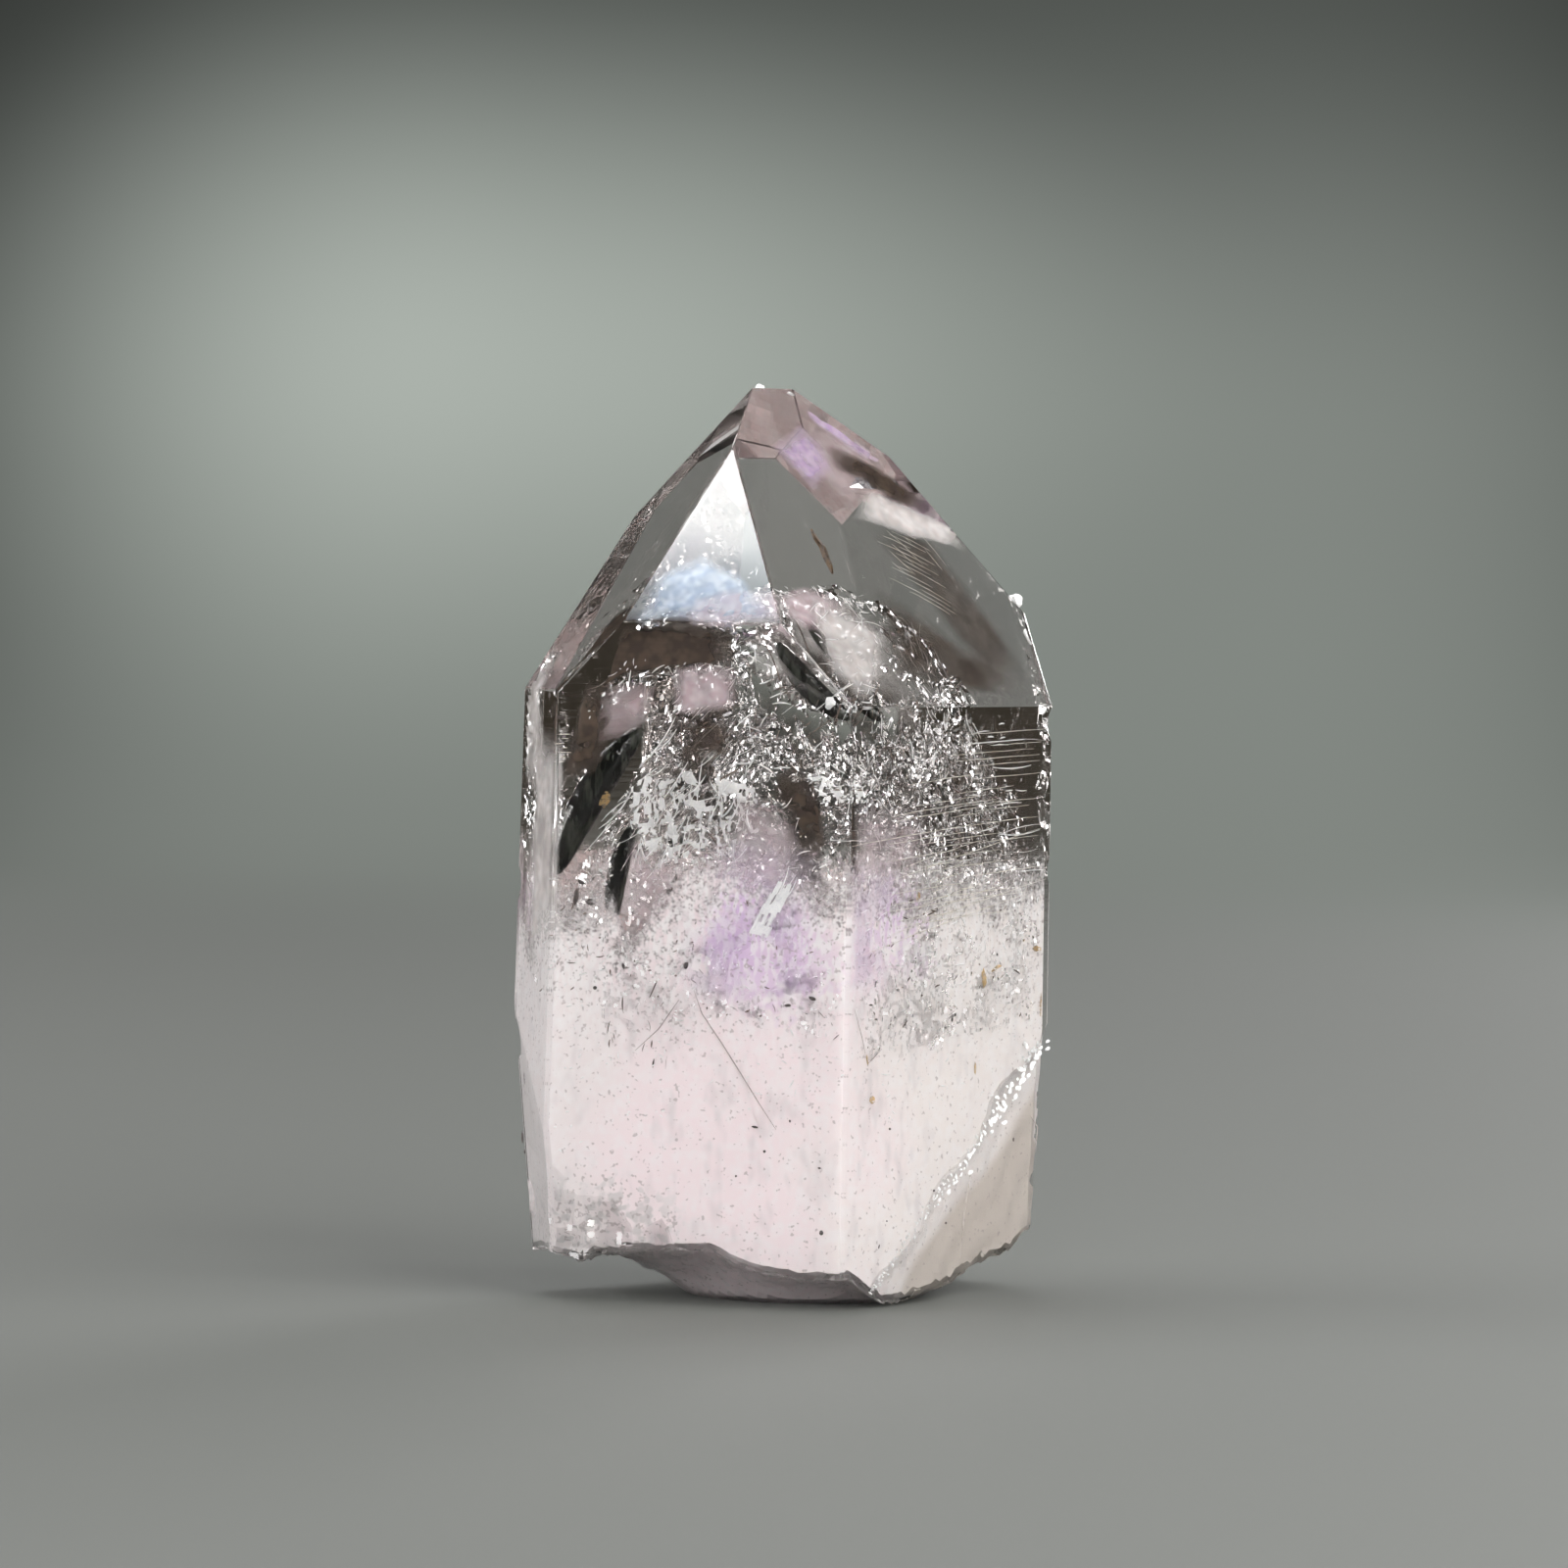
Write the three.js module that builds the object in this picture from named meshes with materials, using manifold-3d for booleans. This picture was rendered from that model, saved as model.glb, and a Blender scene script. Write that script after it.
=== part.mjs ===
// Enhydro amethyst: a single quartz point with three sealed pockets of water.
// Millimetres, +Z up along the crystal's long axis. The origin is at the middle of the foot.
import * as THREE from "three";
import { mergeVertices } from "three/addons/utils/BufferGeometryUtils.js";
import Module from "manifold-3d";

const wasm = await Module();
wasm.setup();

// Quartz angles
const FACE_STEP_DEG = 60; // between neighbouring prism faces
const END_SLOPE_DEG = 51.79; // a main end face, from the horizontal
const CORNER_SLOPE_DEG = 65.56; // the small end face on a prism corner

// Prism: faces numbered from the front one, anticlockwise seen from above
const FRONT_FACE_AZIMUTH_DEG = -11.1;
// Distance of each face from the axis at its upper end, and its outward lean towards the foot
const FACE_DISTANCE = [12.44, 11.79, 15.8, 12.86, 9.91, 16.45];
const FACE_LEAN_DEG = [0, 0, 0.3, 0.3, 0.9, 0.9];
// Height at which each prism face meets the end face above it
const SHOULDER_HEIGHT = [41.72, 36.81, 42.4, 46.5, 48.13, 37.4];
const PRISM_TOP = 70;
const PRISM_BOTTOM = -6;
const BLANK_MARGIN = 3; // the uncut blank stands this much proud of every face

// Small end face on the corner between the two back faces
const BACK_CORNER = 3;
const CORNER_FACE_AZIMUTH_DEG = FRONT_FACE_AZIMUTH_DEG + 3.5 * FACE_STEP_DEG;
const CORNER_FACE_START = 42.7; // its lowest point, on the corner edge

// Growth step on the back end face: below the line the face lies deeper
const BACK_FACE = 3;
const BACK_STEP_DEPTH = 0.55;
const BACK_STEP_POINT = new THREE.Vector3(3.94, 10.89, 48.3);
const BACK_STEP_TILT_DEG = -22.6;

// Blunted tip
const TIP_BREAK_POINT = new THREE.Vector3(0.1, 4.3, 56.15);
const TIP_BREAK_NORMAL = new THREE.Vector3(0.5, -0.35, 1);
const TIP_BREAK_SIZE = 7;
const TIP_BREAK_CELL = 0.8;
const TIP_BREAK_ROUGHNESS = 0.22;

// Foot: a flat patch that the crystal stands on, broken edges rising round it
const PATCH_CENTRE = new THREE.Vector2(1.6, 0.4);
const PATCH_RADIUS_X = 7.4;
const PATCH_RADIUS_Y = 8.0;
const FOOT_SPAN_X = 37;
const FOOT_SPAN_Y = 33;
const FOOT_CELL = 1.1;
const FOOT_ROUGHNESS = 0.5;
const FOOT_RISE_POWER = 2.6;
// Height of the broken front edge over the patch, from left to right
const FRONT_FOOT = [
  [-15.4, 3.3], [-14.2, 3.1], [-12.1, 2.6], [-10.6, 3.3], [-6.2, 3.5], [-4.0, 3.5],
  [-2.9, 2.9], [-0.6, 2.2], [1.9, 2.0], [4.4, 2.0], [5.6, 0.8], [7.0, 0.25],
  [9.5, 1.2], [12.0, 1.7], [13.3, 2.6], [14.2, 2.9], [15.8, 4.4],
];
// The back edge rises and falls in two waves: height and turn per millimetre
const BACK_FOOT_HEIGHT = 2.7;
const BACK_FOOT_WAVES = [[0.9, 0.5], [0.4, 1.7]];
const FOOT_BLEND_FRONT = -6; // from the front edge's heights here
const FOOT_BLEND_BACK = 4; // to the back edge's here
const FOOT_GRAIN = 0.6; // share of the roughness that is random, the rest being a slow wave
const FOOT_WAVE = 0.3;
const FOOT_WAVE_X = 0.9;
const FOOT_WAVE_Y = 1.3;
const FOOT_EDGE_ROUGH = 0.12;

// Shell-shaped break at the lower right of the right face. Its upper edge runs between two points,
// each given by the distance from the face's left corner edge and the height
const BREAK_FACE = 1;
const BREAK_EDGE_LOW = new THREE.Vector2(2.6, 0.8);
const BREAK_EDGE_HIGH = new THREE.Vector2(17.8, 15.5);
const BREAK_SLOPE = 0.12;
const BREAK_LIP = 0.4;
const BREAK_LIP_WIDTH = 1.5;
const BREAK_BEND_ALONG = 12.2; // past this the break falls away more steeply
const BREAK_BEND_SLOPE = 0.06;
const BREAK_RIPPLE = 0.06;
const BREAK_RIPPLE_LENGTH = 2.3;
const BREAK_EDGE_WANDER = 0.45;
const BREAK_WANDER_TURN = 0.8;
const BREAK_REGION = { along: 11.5, height: 7, spanAlong: 19, spanUp: 26, cell: 0.8 };

// Rough chip along the lower left of the front face
const CHIP_FACE = 0;
const CHIP_TOP_LEFT = 8.3; // height of its upper edge at the left corner
const CHIP_TOP_FALL = 0.5; // fall of the upper edge per millimetre to the right
const CHIP_SLOPE = 0.34;
const CHIP_ROUGHNESS = 0.3;
const CHIP_EDGE_WANDER = 0.6;
const CHIP_WANDER_TURN = 1.9;
const CHIP_REGION = { along: 9, height: 3, spanAlong: 22, spanUp: 14, cell: 0.8 };

// The left corner edge is broken away in a narrow face that widens towards the foot
const LEFT_CORNER = 4;
const LEFT_BREAK_TOP = 18;
const LEFT_BREAK_LEAN_DEG = 6.2;

// Small shells out of the left corner edge: height, size along the edge, depth
const LEFT_CHIPS = [
  [15.6, 1.5, 1.0],
  [9.4, 2.2, 1.1],
  [5.6, 2.6, 1.9],
  [25.4, 2.4, 0.25],
];
// Small shells out of the right corner edge
const RIGHT_CORNER = 1;
const RIGHT_CHIPS = [
  [35.6, 1.8, 0.35],
  [26.5, 2.2, 0.2],
];
const CHIP_SPHERE_ACROSS = 14;
const CHIP_SPHERE_DOWN = 10;

// Water pockets, on one upright plane behind the front face
const PARTING_DEPTH = 6.0;
const PARTING_GAP = 0.3;
const POCKET_GAP = 0.3;
// Ends of each pocket on that plane (along the plane, height), its width, thickness and bend
const POCKETS = [
  { name: "water_pocket_left", from: [-12.7, 26.0], to: [-7.4, 35.2], width: 2.1, depth: 1.7, bend: -0.6 },
  { name: "water_pocket_lower", from: [-9.05, 22.9], to: [-7.8, 29.3], width: 1.3, depth: 1.2, bend: -0.35 },
  { name: "water_pocket_upper", from: [0.95, 40.5], to: [5.55, 35.9], width: 1.5, depth: 1.3, bend: -0.4 },
];
const POCKET_ACROSS = 18;
const POCKET_DOWN = 16;

const SLAB = 120; // side of a cutting block, larger than the crystal
const CUT_HEIGHT = 6; // how far a pressed block stands over the face it cuts
const WELD = 1e-4;

const CRYSTAL_FRONT_LOOK = { color: 0xd8cfd9, roughness: 0.08, metalness: 0 };
const CRYSTAL_BACK_LOOK = { color: 0xcbbfcc, roughness: 0.08, metalness: 0 };
const WATER_LOOK = { color: 0x34362f, roughness: 0.12, metalness: 0 };

// A number between -1 and 1 that depends only on the place, to a quarter of a millimetre
function scatter(x, y) {
  const mixed = Math.sin(Math.round(x * 4) * 127.1 + Math.round(y * 4) * 311.7) * 43758.5453;
  return 2 * (mixed - Math.floor(mixed)) - 1;
}

function toSolid(geometry) {
  const bare = geometry.clone();
  bare.deleteAttribute("normal");
  bare.deleteAttribute("uv");
  const welded = mergeVertices(bare, WELD);
  return new wasm.Manifold(
    new wasm.Mesh({
      numProp: 3,
      vertProperties: new Float32Array(welded.attributes.position.array),
      triVerts: new Uint32Array(welded.index.array),
    }),
  );
}

function toMesh(solid, name, look) {
  const result = solid.getMesh();
  const geometry = new THREE.BufferGeometry();
  geometry.setAttribute("position", new THREE.BufferAttribute(new Float32Array(result.vertProperties), 3));
  geometry.setIndex(new THREE.BufferAttribute(new Uint32Array(result.triVerts), 1));
  geometry.computeVertexNormals();
  const mesh = new THREE.Mesh(geometry, new THREE.MeshStandardMaterial(look));
  mesh.name = name;
  return mesh;
}

function outwardOf(azimuthDeg) {
  const turn = THREE.MathUtils.degToRad(azimuthDeg);
  return new THREE.Vector3(Math.sin(turn), -Math.cos(turn), 0);
}

function faceOutward(index) {
  return outwardOf(FRONT_FACE_AZIMUTH_DEG + index * FACE_STEP_DEG);
}

// A block whose flat side, the one that cuts, passes through a point and faces away from outward
function slab(point, outward) {
  const box = new THREE.BoxGeometry(SLAB, SLAB, SLAB);
  const turn = new THREE.Quaternion().setFromUnitVectors(new THREE.Vector3(0, 0, 1), outward);
  const middle = point.clone().addScaledVector(outward, SLAB / 2);
  box.applyMatrix4(new THREE.Matrix4().compose(middle, turn, new THREE.Vector3(1, 1, 1)));
  return toSolid(box);
}

// A block over a flat frame whose inner side is pressed in by depthAt(u, v)
function pressedBlock(frame, spanU, spanV, cell, height, depthAt) {
  const box = new THREE.BoxGeometry(spanU, spanV, 1, Math.round(spanU / cell), Math.round(spanV / cell), 1);
  const places = box.attributes.position;
  for (let i = 0; i < places.count; i += 1) {
    const u = places.getX(i);
    const v = places.getY(i);
    places.setZ(i, places.getZ(i) < 0 ? -depthAt(u, v) : height);
  }
  box.applyMatrix4(frame);
  return toSolid(box);
}

function frameAt(origin, outward, upHint) {
  const across = upHint.clone().cross(outward).normalize();
  const along = outward.clone().cross(across).normalize();
  return new THREE.Matrix4().makeBasis(across, along, outward).setPosition(origin);
}

function faceDistance(index, height) {
  const lean = THREE.MathUtils.degToRad(FACE_LEAN_DEG[index]);
  return FACE_DISTANCE[index] + (SHOULDER_HEIGHT[index] - height) * Math.tan(lean);
}

// The six corners of the prism's section at a height, the first at the right of the front face
function hexagonCorners(height, margin = 0) {
  return FACE_DISTANCE.map((_, i) => {
    const next = (i + 1) % FACE_DISTANCE.length;
    const a = faceOutward(i);
    const b = faceOutward(next);
    const reachA = faceDistance(i, height) + margin;
    const reachB = faceDistance(next, height) + margin;
    const det = a.x * b.y - a.y * b.x;
    return new THREE.Vector2((reachA * b.y - reachB * a.y) / det, (a.x * reachB - b.x * reachA) / det);
  });
}

function pointOnFace(index, height) {
  return faceOutward(index).multiplyScalar(faceDistance(index, height)).setZ(height);
}

function prism() {
  const outline = new THREE.Shape(hexagonCorners(0, BLANK_MARGIN));
  const blank = new THREE.ExtrudeGeometry(outline, { depth: PRISM_TOP - PRISM_BOTTOM, bevelEnabled: false });
  blank.translate(0, 0, PRISM_BOTTOM);
  return FACE_LEAN_DEG.reduce((rest, leanDeg, i) => {
    const outward = slopedOutward(faceOutward(i), 90 - leanDeg);
    return rest.subtract(slab(pointOnFace(i, 0), outward));
  }, toSolid(blank));
}

function slopedOutward(flatOutward, slopeDeg) {
  const slope = THREE.MathUtils.degToRad(slopeDeg);
  return flatOutward.clone().multiplyScalar(Math.sin(slope)).setZ(Math.cos(slope));
}

function cutEndFaces(body) {
  return SHOULDER_HEIGHT.reduce((rest, height, i) => {
    const outward = slopedOutward(faceOutward(i), END_SLOPE_DEG);
    return rest.subtract(slab(pointOnFace(i, height), outward));
  }, body);
}

function cutCornerFace(body) {
  const corner = hexagonCorners(CORNER_FACE_START)[BACK_CORNER];
  const outward = slopedOutward(outwardOf(CORNER_FACE_AZIMUTH_DEG), CORNER_SLOPE_DEG);
  return body.subtract(slab(new THREE.Vector3(corner.x, corner.y, CORNER_FACE_START), outward));
}

function cutBackStep(body) {
  const outward = slopedOutward(faceOutward(BACK_FACE), END_SLOPE_DEG);
  const level = new THREE.Vector3(0, 0, 1).cross(outward).normalize();
  const riser = level.applyAxisAngle(outward, THREE.MathUtils.degToRad(BACK_STEP_TILT_DEG));
  const downhill = riser.clone().cross(outward).normalize();
  if (downhill.z > 0) downhill.negate();
  const lower = slab(BACK_STEP_POINT.clone().addScaledVector(outward, -BACK_STEP_DEPTH), outward);
  return body.subtract(lower.intersect(slab(BACK_STEP_POINT, downhill)));
}

function cutTip(body) {
  const outward = TIP_BREAK_NORMAL.clone().normalize();
  const frame = frameAt(TIP_BREAK_POINT, outward, new THREE.Vector3(0, 1, 0));
  const rough = (u, v) => TIP_BREAK_ROUGHNESS * scatter(u, v);
  const size = TIP_BREAK_SIZE;
  return body.subtract(pressedBlock(frame, size, size, TIP_BREAK_CELL, CUT_HEIGHT, rough));
}

function reachOfOutline(direction) {
  const reaches = FACE_DISTANCE.map((_, i) => {
    const outward = faceOutward(i);
    const towards = outward.x * direction.x + outward.y * direction.y;
    const start = outward.x * PATCH_CENTRE.x + outward.y * PATCH_CENTRE.y;
    return towards > 0 ? (faceDistance(i, 0) - start) / towards : Infinity;
  });
  return Math.min(...reaches);
}

function frontFootHeight(x) {
  const last = FRONT_FOOT.length - 1;
  if (x <= FRONT_FOOT[0][0]) return FRONT_FOOT[0][1];
  if (x >= FRONT_FOOT[last][0]) return FRONT_FOOT[last][1];
  const i = FRONT_FOOT.findIndex((point) => point[0] > x);
  const [x0, z0] = FRONT_FOOT[i - 1];
  const [x1, z1] = FRONT_FOOT[i];
  return THREE.MathUtils.lerp(z0, z1, (x - x0) / (x1 - x0));
}

function footHeight(x, y) {
  const offset = new THREE.Vector2(x, y).sub(PATCH_CENTRE);
  const distance = offset.length();
  const direction = offset.clone().normalize();
  const patch = 1 / Math.hypot(direction.x / PATCH_RADIUS_X, direction.y / PATCH_RADIUS_Y);
  if (distance <= patch) return 0;
  const way = Math.min(1, (distance - patch) / (reachOfOutline(direction) - patch));
  const rise = 1 - (1 - way) ** FOOT_RISE_POWER;
  const waves = BACK_FOOT_WAVES.map(([swing, turn]) => swing * Math.sin(x * turn));
  const back = BACK_FOOT_HEIGHT + waves[0] + waves[1];
  const blend = THREE.MathUtils.smoothstep(y, FOOT_BLEND_FRONT, FOOT_BLEND_BACK);
  const edge = THREE.MathUtils.lerp(frontFootHeight(x), back, blend);
  const grain = FOOT_GRAIN * scatter(x, y);
  const wave = FOOT_WAVE * Math.sin(x * FOOT_WAVE_X + y * FOOT_WAVE_Y);
  const strength = FOOT_ROUGHNESS * Math.min(rise, 4 * way * (1 - way) + FOOT_EDGE_ROUGH);
  return Math.max(0, rise * edge + (grain + wave) * strength);
}

function cutFoot(body) {
  const down = new THREE.Vector3(0, 0, -1);
  const frame = frameAt(new THREE.Vector3(0, 0, 0), down, new THREE.Vector3(0, 1, 0));
  const depthAt = (u, v) => footHeight(-u, v);
  const below = BLANK_MARGIN - PRISM_BOTTOM;
  return body.subtract(pressedBlock(frame, FOOT_SPAN_X, FOOT_SPAN_Y, FOOT_CELL, below, depthAt));
}

// Frame on a prism face: u along the face from its left corner edge, v up from the foot
function faceFrame(index, middleAlong, middleHeight) {
  const outward = faceOutward(index);
  const corners = hexagonCorners(middleHeight);
  const left = corners[(index + corners.length - 1) % corners.length];
  const across = new THREE.Vector3(0, 0, 1).cross(outward).normalize();
  const origin = new THREE.Vector3(left.x, left.y, middleHeight).addScaledVector(across, middleAlong);
  return frameAt(origin, outward, new THREE.Vector3(0, 0, 1));
}

function cutRegion(body, index, region, depthAt) {
  const frame = faceFrame(index, region.along, region.height);
  const pressed = (u, v) => depthAt(u + region.along, v + region.height);
  const { spanAlong, spanUp, cell } = region;
  return body.subtract(pressedBlock(frame, spanAlong, spanUp, cell, CUT_HEIGHT, pressed));
}

function breakDepth(along, height) {
  const edge = BREAK_EDGE_HIGH.clone().sub(BREAK_EDGE_LOW).normalize();
  const offset = new THREE.Vector2(along, height).sub(BREAK_EDGE_LOW);
  const wander = BREAK_EDGE_WANDER * Math.sin(offset.dot(edge) * BREAK_WANDER_TURN + 0.5);
  const inside = offset.x * edge.y - offset.y * edge.x + wander;
  const lip = BREAK_LIP * THREE.MathUtils.smoothstep(inside, 0, BREAK_LIP_WIDTH);
  const bend = BREAK_BEND_SLOPE * Math.max(0, along - BREAK_BEND_ALONG);
  const ripple = BREAK_RIPPLE * Math.sin((inside * 2 * Math.PI) / BREAK_RIPPLE_LENGTH);
  const shell = lip + bend + ripple;
  return inside > 0 ? BREAK_SLOPE * inside + shell : inside; // outside its edge it cuts nothing
}

function chipDepth(along, height) {
  const wander = CHIP_EDGE_WANDER * Math.sin(along * CHIP_WANDER_TURN);
  const under = CHIP_TOP_LEFT - CHIP_TOP_FALL * along + wander - height;
  const rough = CHIP_ROUGHNESS * scatter(along, height);
  return CHIP_SLOPE * under + rough * THREE.MathUtils.clamp(under, 0, 1);
}

function cutLeftCorner(body) {
  const corner = hexagonCorners(LEFT_BREAK_TOP)[LEFT_CORNER];
  const outward = new THREE.Vector3(corner.x, corner.y, 0).normalize();
  const leaning = slopedOutward(outward, 90 + LEFT_BREAK_LEAN_DEG);
  return body.subtract(slab(new THREE.Vector3(corner.x, corner.y, LEFT_BREAK_TOP), leaning));
}

function cutCornerChips(body, cornerIndex, chips) {
  return chips.reduce((rest, [height, size, depth]) => {
    const corner = hexagonCorners(height)[cornerIndex];
    const outward = new THREE.Vector3(corner.x, corner.y, 0).normalize();
    const shell = new THREE.SphereGeometry(size, CHIP_SPHERE_ACROSS, CHIP_SPHERE_DOWN);
    const centre = new THREE.Vector3(corner.x, corner.y, height).addScaledVector(outward, size - depth);
    shell.translate(centre.x, centre.y, centre.z);
    return rest.subtract(toSolid(shell));
  }, body);
}

function crystalBody() {
  let body = cutEndFaces(prism());
  body = cutCornerFace(body);
  body = cutBackStep(body);
  body = cutTip(body);
  body = cutRegion(body, BREAK_FACE, BREAK_REGION, breakDepth);
  body = cutRegion(body, CHIP_FACE, CHIP_REGION, chipDepth);
  body = cutLeftCorner(body);
  body = cutCornerChips(body, LEFT_CORNER, LEFT_CHIPS);
  body = cutCornerChips(body, RIGHT_CORNER, RIGHT_CHIPS);
  return cutFoot(body);
}

// Sharp-ended bent bean on the parting plane, made bigger all round by grow
function pocketSolid(pocket, grow) {
  const bean = new THREE.SphereGeometry(1, POCKET_ACROSS, POCKET_DOWN);
  const span = new THREE.Vector2(pocket.to[0] - pocket.from[0], pocket.to[1] - pocket.from[1]);
  const half = span.length() / 2 + grow;
  const places = bean.attributes.position;
  for (let i = 0; i < places.count; i += 1) {
    const lengthwise = places.getY(i);
    const x = places.getX(i) * (pocket.width / 2 + grow) + pocket.bend * (1 - lengthwise ** 2);
    places.setXYZ(i, x, lengthwise * half, places.getZ(i) * (pocket.depth / 2 + grow));
  }
  const outward = faceOutward(0);
  const across = new THREE.Vector3(0, 0, 1).cross(outward).normalize();
  const middle = outward.clone().multiplyScalar(FACE_DISTANCE[0] - PARTING_DEPTH);
  middle.addScaledVector(across, (pocket.from[0] + pocket.to[0]) / 2);
  middle.z = (pocket.from[1] + pocket.to[1]) / 2;
  const along = across.clone().multiplyScalar(span.x).setZ(span.y).normalize();
  if (along.z < 0) along.negate();
  const side = along.clone().cross(outward).normalize();
  bean.applyMatrix4(new THREE.Matrix4().makeBasis(side, along, outward).setPosition(middle));
  return toSolid(bean);
}

function partedHalf(body, outward, offset) {
  const start = outward.clone().multiplyScalar(offset);
  return body.subtract(slab(start, outward));
}

const body = crystalBody();
const hollowed = POCKETS.reduce((rest, pocket) => rest.subtract(pocketSolid(pocket, POCKET_GAP)), body);
const front = faceOutward(0);
const partingOffset = FACE_DISTANCE[0] - PARTING_DEPTH;
const backHalf = partedHalf(hollowed, front, partingOffset - PARTING_GAP / 2);
const frontHalf = partedHalf(hollowed, front.clone().negate(), -partingOffset - PARTING_GAP / 2);

const part = new THREE.Group();
part.name = "enhydro_amethyst_crystal";
part.add(toMesh(frontHalf, "crystal_front", CRYSTAL_FRONT_LOOK));
part.add(toMesh(backHalf, "crystal_back", CRYSTAL_BACK_LOOK));
for (const pocket of POCKETS) {
  part.add(toMesh(pocketSolid(pocket, 0), pocket.name, WATER_LOOK));
}

// The origin goes to the middle of the box round the whole crystal, at the height of the flat patch
const box = new THREE.Box3().setFromObject(part);
const middle = box.getCenter(new THREE.Vector3());
part.position.set(-middle.x, -middle.y, -box.min.z);

export default part;
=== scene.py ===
import math
import random

import bmesh
import bpy
from mathutils import Matrix, Vector, noise


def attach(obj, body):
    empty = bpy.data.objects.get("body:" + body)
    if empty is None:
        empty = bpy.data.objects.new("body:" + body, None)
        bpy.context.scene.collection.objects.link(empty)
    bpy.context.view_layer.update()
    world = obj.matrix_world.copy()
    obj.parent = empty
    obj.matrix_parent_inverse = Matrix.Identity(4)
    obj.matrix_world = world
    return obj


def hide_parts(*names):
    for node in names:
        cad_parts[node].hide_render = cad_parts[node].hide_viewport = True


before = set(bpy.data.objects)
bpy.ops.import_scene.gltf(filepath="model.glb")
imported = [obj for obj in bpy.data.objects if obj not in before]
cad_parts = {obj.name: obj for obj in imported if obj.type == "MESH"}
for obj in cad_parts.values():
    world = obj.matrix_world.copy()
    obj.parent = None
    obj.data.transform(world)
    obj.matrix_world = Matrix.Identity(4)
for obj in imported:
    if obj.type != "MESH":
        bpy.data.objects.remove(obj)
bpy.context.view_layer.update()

bl_info = {
    "name": "Enhydro Amethyst Crystal",
    "version": (1, 0, 0),
    "blender": (4, 5, 0),
    "location": "3D View > Sidebar > Crystal",
    "description": "Dresses the amethyst point: clear quartz, milky foot, veils, water pockets and a small studio",
    "category": "Object",
}

BODY = "root"
MM = 0.001
noise.seed_set(5)  # without it noise_vector differs from run to run

# Shape of the crystal in millimetres, the same as its solids have
CENTRING = Vector((0.0235, -0.155, 0))  # from the crystal's axis to the middle of its box
FACE_STEP = 60
FRONT_AZIMUTH = -11.1
END_SLOPE = 51.79
CORNER_SLOPE = 65.56
FACE_DISTANCE = [12.44, 11.79, 15.8, 12.86, 9.91, 16.45]
FACE_LEAN = [0, 0, 0.3, 0.3, 0.9, 0.9]
SHOULDER_HEIGHT = [41.72, 36.81, 42.4, 46.5, 48.13, 37.4]
BACK_CORNER = 3
CORNER_FACE_START = 42.7
BACK_FACE = 3
BACK_STEP_DEPTH = 0.55
BACK_STEP_POINT = Vector((3.94, 10.89, 48.3))
BACK_STEP_TILT = -22.6
TIP_BREAK_POINT = Vector((0.1, 4.3, 56.15))
TIP_BREAK_NORMAL = Vector((0.5, -0.35, 1)).normalized()
LEFT_CORNER = 4
LEFT_BREAK_TOP = 18
LEFT_BREAK_LEAN = 6.2
PATCH_CENTRE = Vector((1.6, 0.4))
PATCH_RADII = Vector((7.4, 8.0))
FOOT_SPAN = Vector((37, 33))
FRONT_FOOT = [
    (-15.4, 3.3), (-14.2, 3.1), (-12.1, 2.6), (-10.6, 3.3), (-6.2, 3.5), (-4.0, 3.5),
    (-2.9, 2.9), (-0.6, 2.2), (1.9, 2.0), (4.4, 2.0), (5.6, 0.8), (7.0, 0.25),
    (9.5, 1.2), (12.0, 1.7), (13.3, 2.6), (14.2, 2.9), (15.8, 4.4),
]
BACK_FOOT_HEIGHT = 2.7
BREAK_FACE = 1
BREAK_LOW = Vector((2.6, 0.8))
BREAK_HIGH = Vector((17.8, 15.5))
BREAK_SLOPE = 0.12
CHIP_FACE = 0
CHIP_TOP_LEFT = 8.3
CHIP_TOP_FALL = 0.5
CHIP_SLOPE = 0.34
LEFT_CHIPS = [(15.6, 1.5, 1.0), (9.4, 2.2, 1.1), (5.6, 2.6, 1.9), (25.4, 2.4, 0.25)]
RIGHT_CORNER = 1
RIGHT_CHIPS = [(35.6, 1.8, 0.35), (26.5, 2.2, 0.2)]
BLANK = 60  # half the side of the cube that the faces are cut from
BLANK_FOOT = -5  # the uncut block ends here, below the crystal's foot
CUT_HEIGHT = 6

# The photograph: its side in pixels, and the camera that took it, in the crystal's frame
PICTURE = 1600
PIXELS_PER_MM = 16.5
AIM = Vector((-0.1365, -2.305, 31.7))
QUARTZ_IOR = 1.544


# Plain geometry

def outward_of(azimuth):
    turn = math.radians(azimuth)
    return Vector((math.sin(turn), -math.cos(turn), 0))


def face_outward(index):
    return outward_of(FRONT_AZIMUTH + FACE_STEP * index)


def sloped(flat, slope):
    """A level direction tipped up, so that its face slopes by this angle."""
    tip = math.radians(slope)
    return Vector((flat.x * math.sin(tip), flat.y * math.sin(tip), math.cos(tip)))


def face_distance(index, height):
    return FACE_DISTANCE[index] + (SHOULDER_HEIGHT[index] - height) * math.tan(math.radians(FACE_LEAN[index]))


def prism_corner(index, height):
    """The corner edge between a prism face and the next one, at a height."""
    after = (index + 1) % len(FACE_DISTANCE)
    a, b = face_outward(index), face_outward(after)
    reach_a, reach_b = face_distance(index, height), face_distance(after, height)
    det = a.x * b.y - a.y * b.x
    return Vector(((reach_a * b.y - reach_b * a.y) / det, (a.x * reach_b - b.x * reach_a) / det, height))


def smooth_step(low, high, value):
    way = min(1.0, max(0.0, (value - low) / (high - low)))
    return way * way * (3 - 2 * way)


def place_on(origin, outward, up_hint):
    across = up_hint.cross(outward).normalized()
    along = outward.cross(across).normalized()
    turn = Matrix((across, along, outward)).transposed().to_4x4()
    return Matrix.Translation(origin) @ turn


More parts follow.
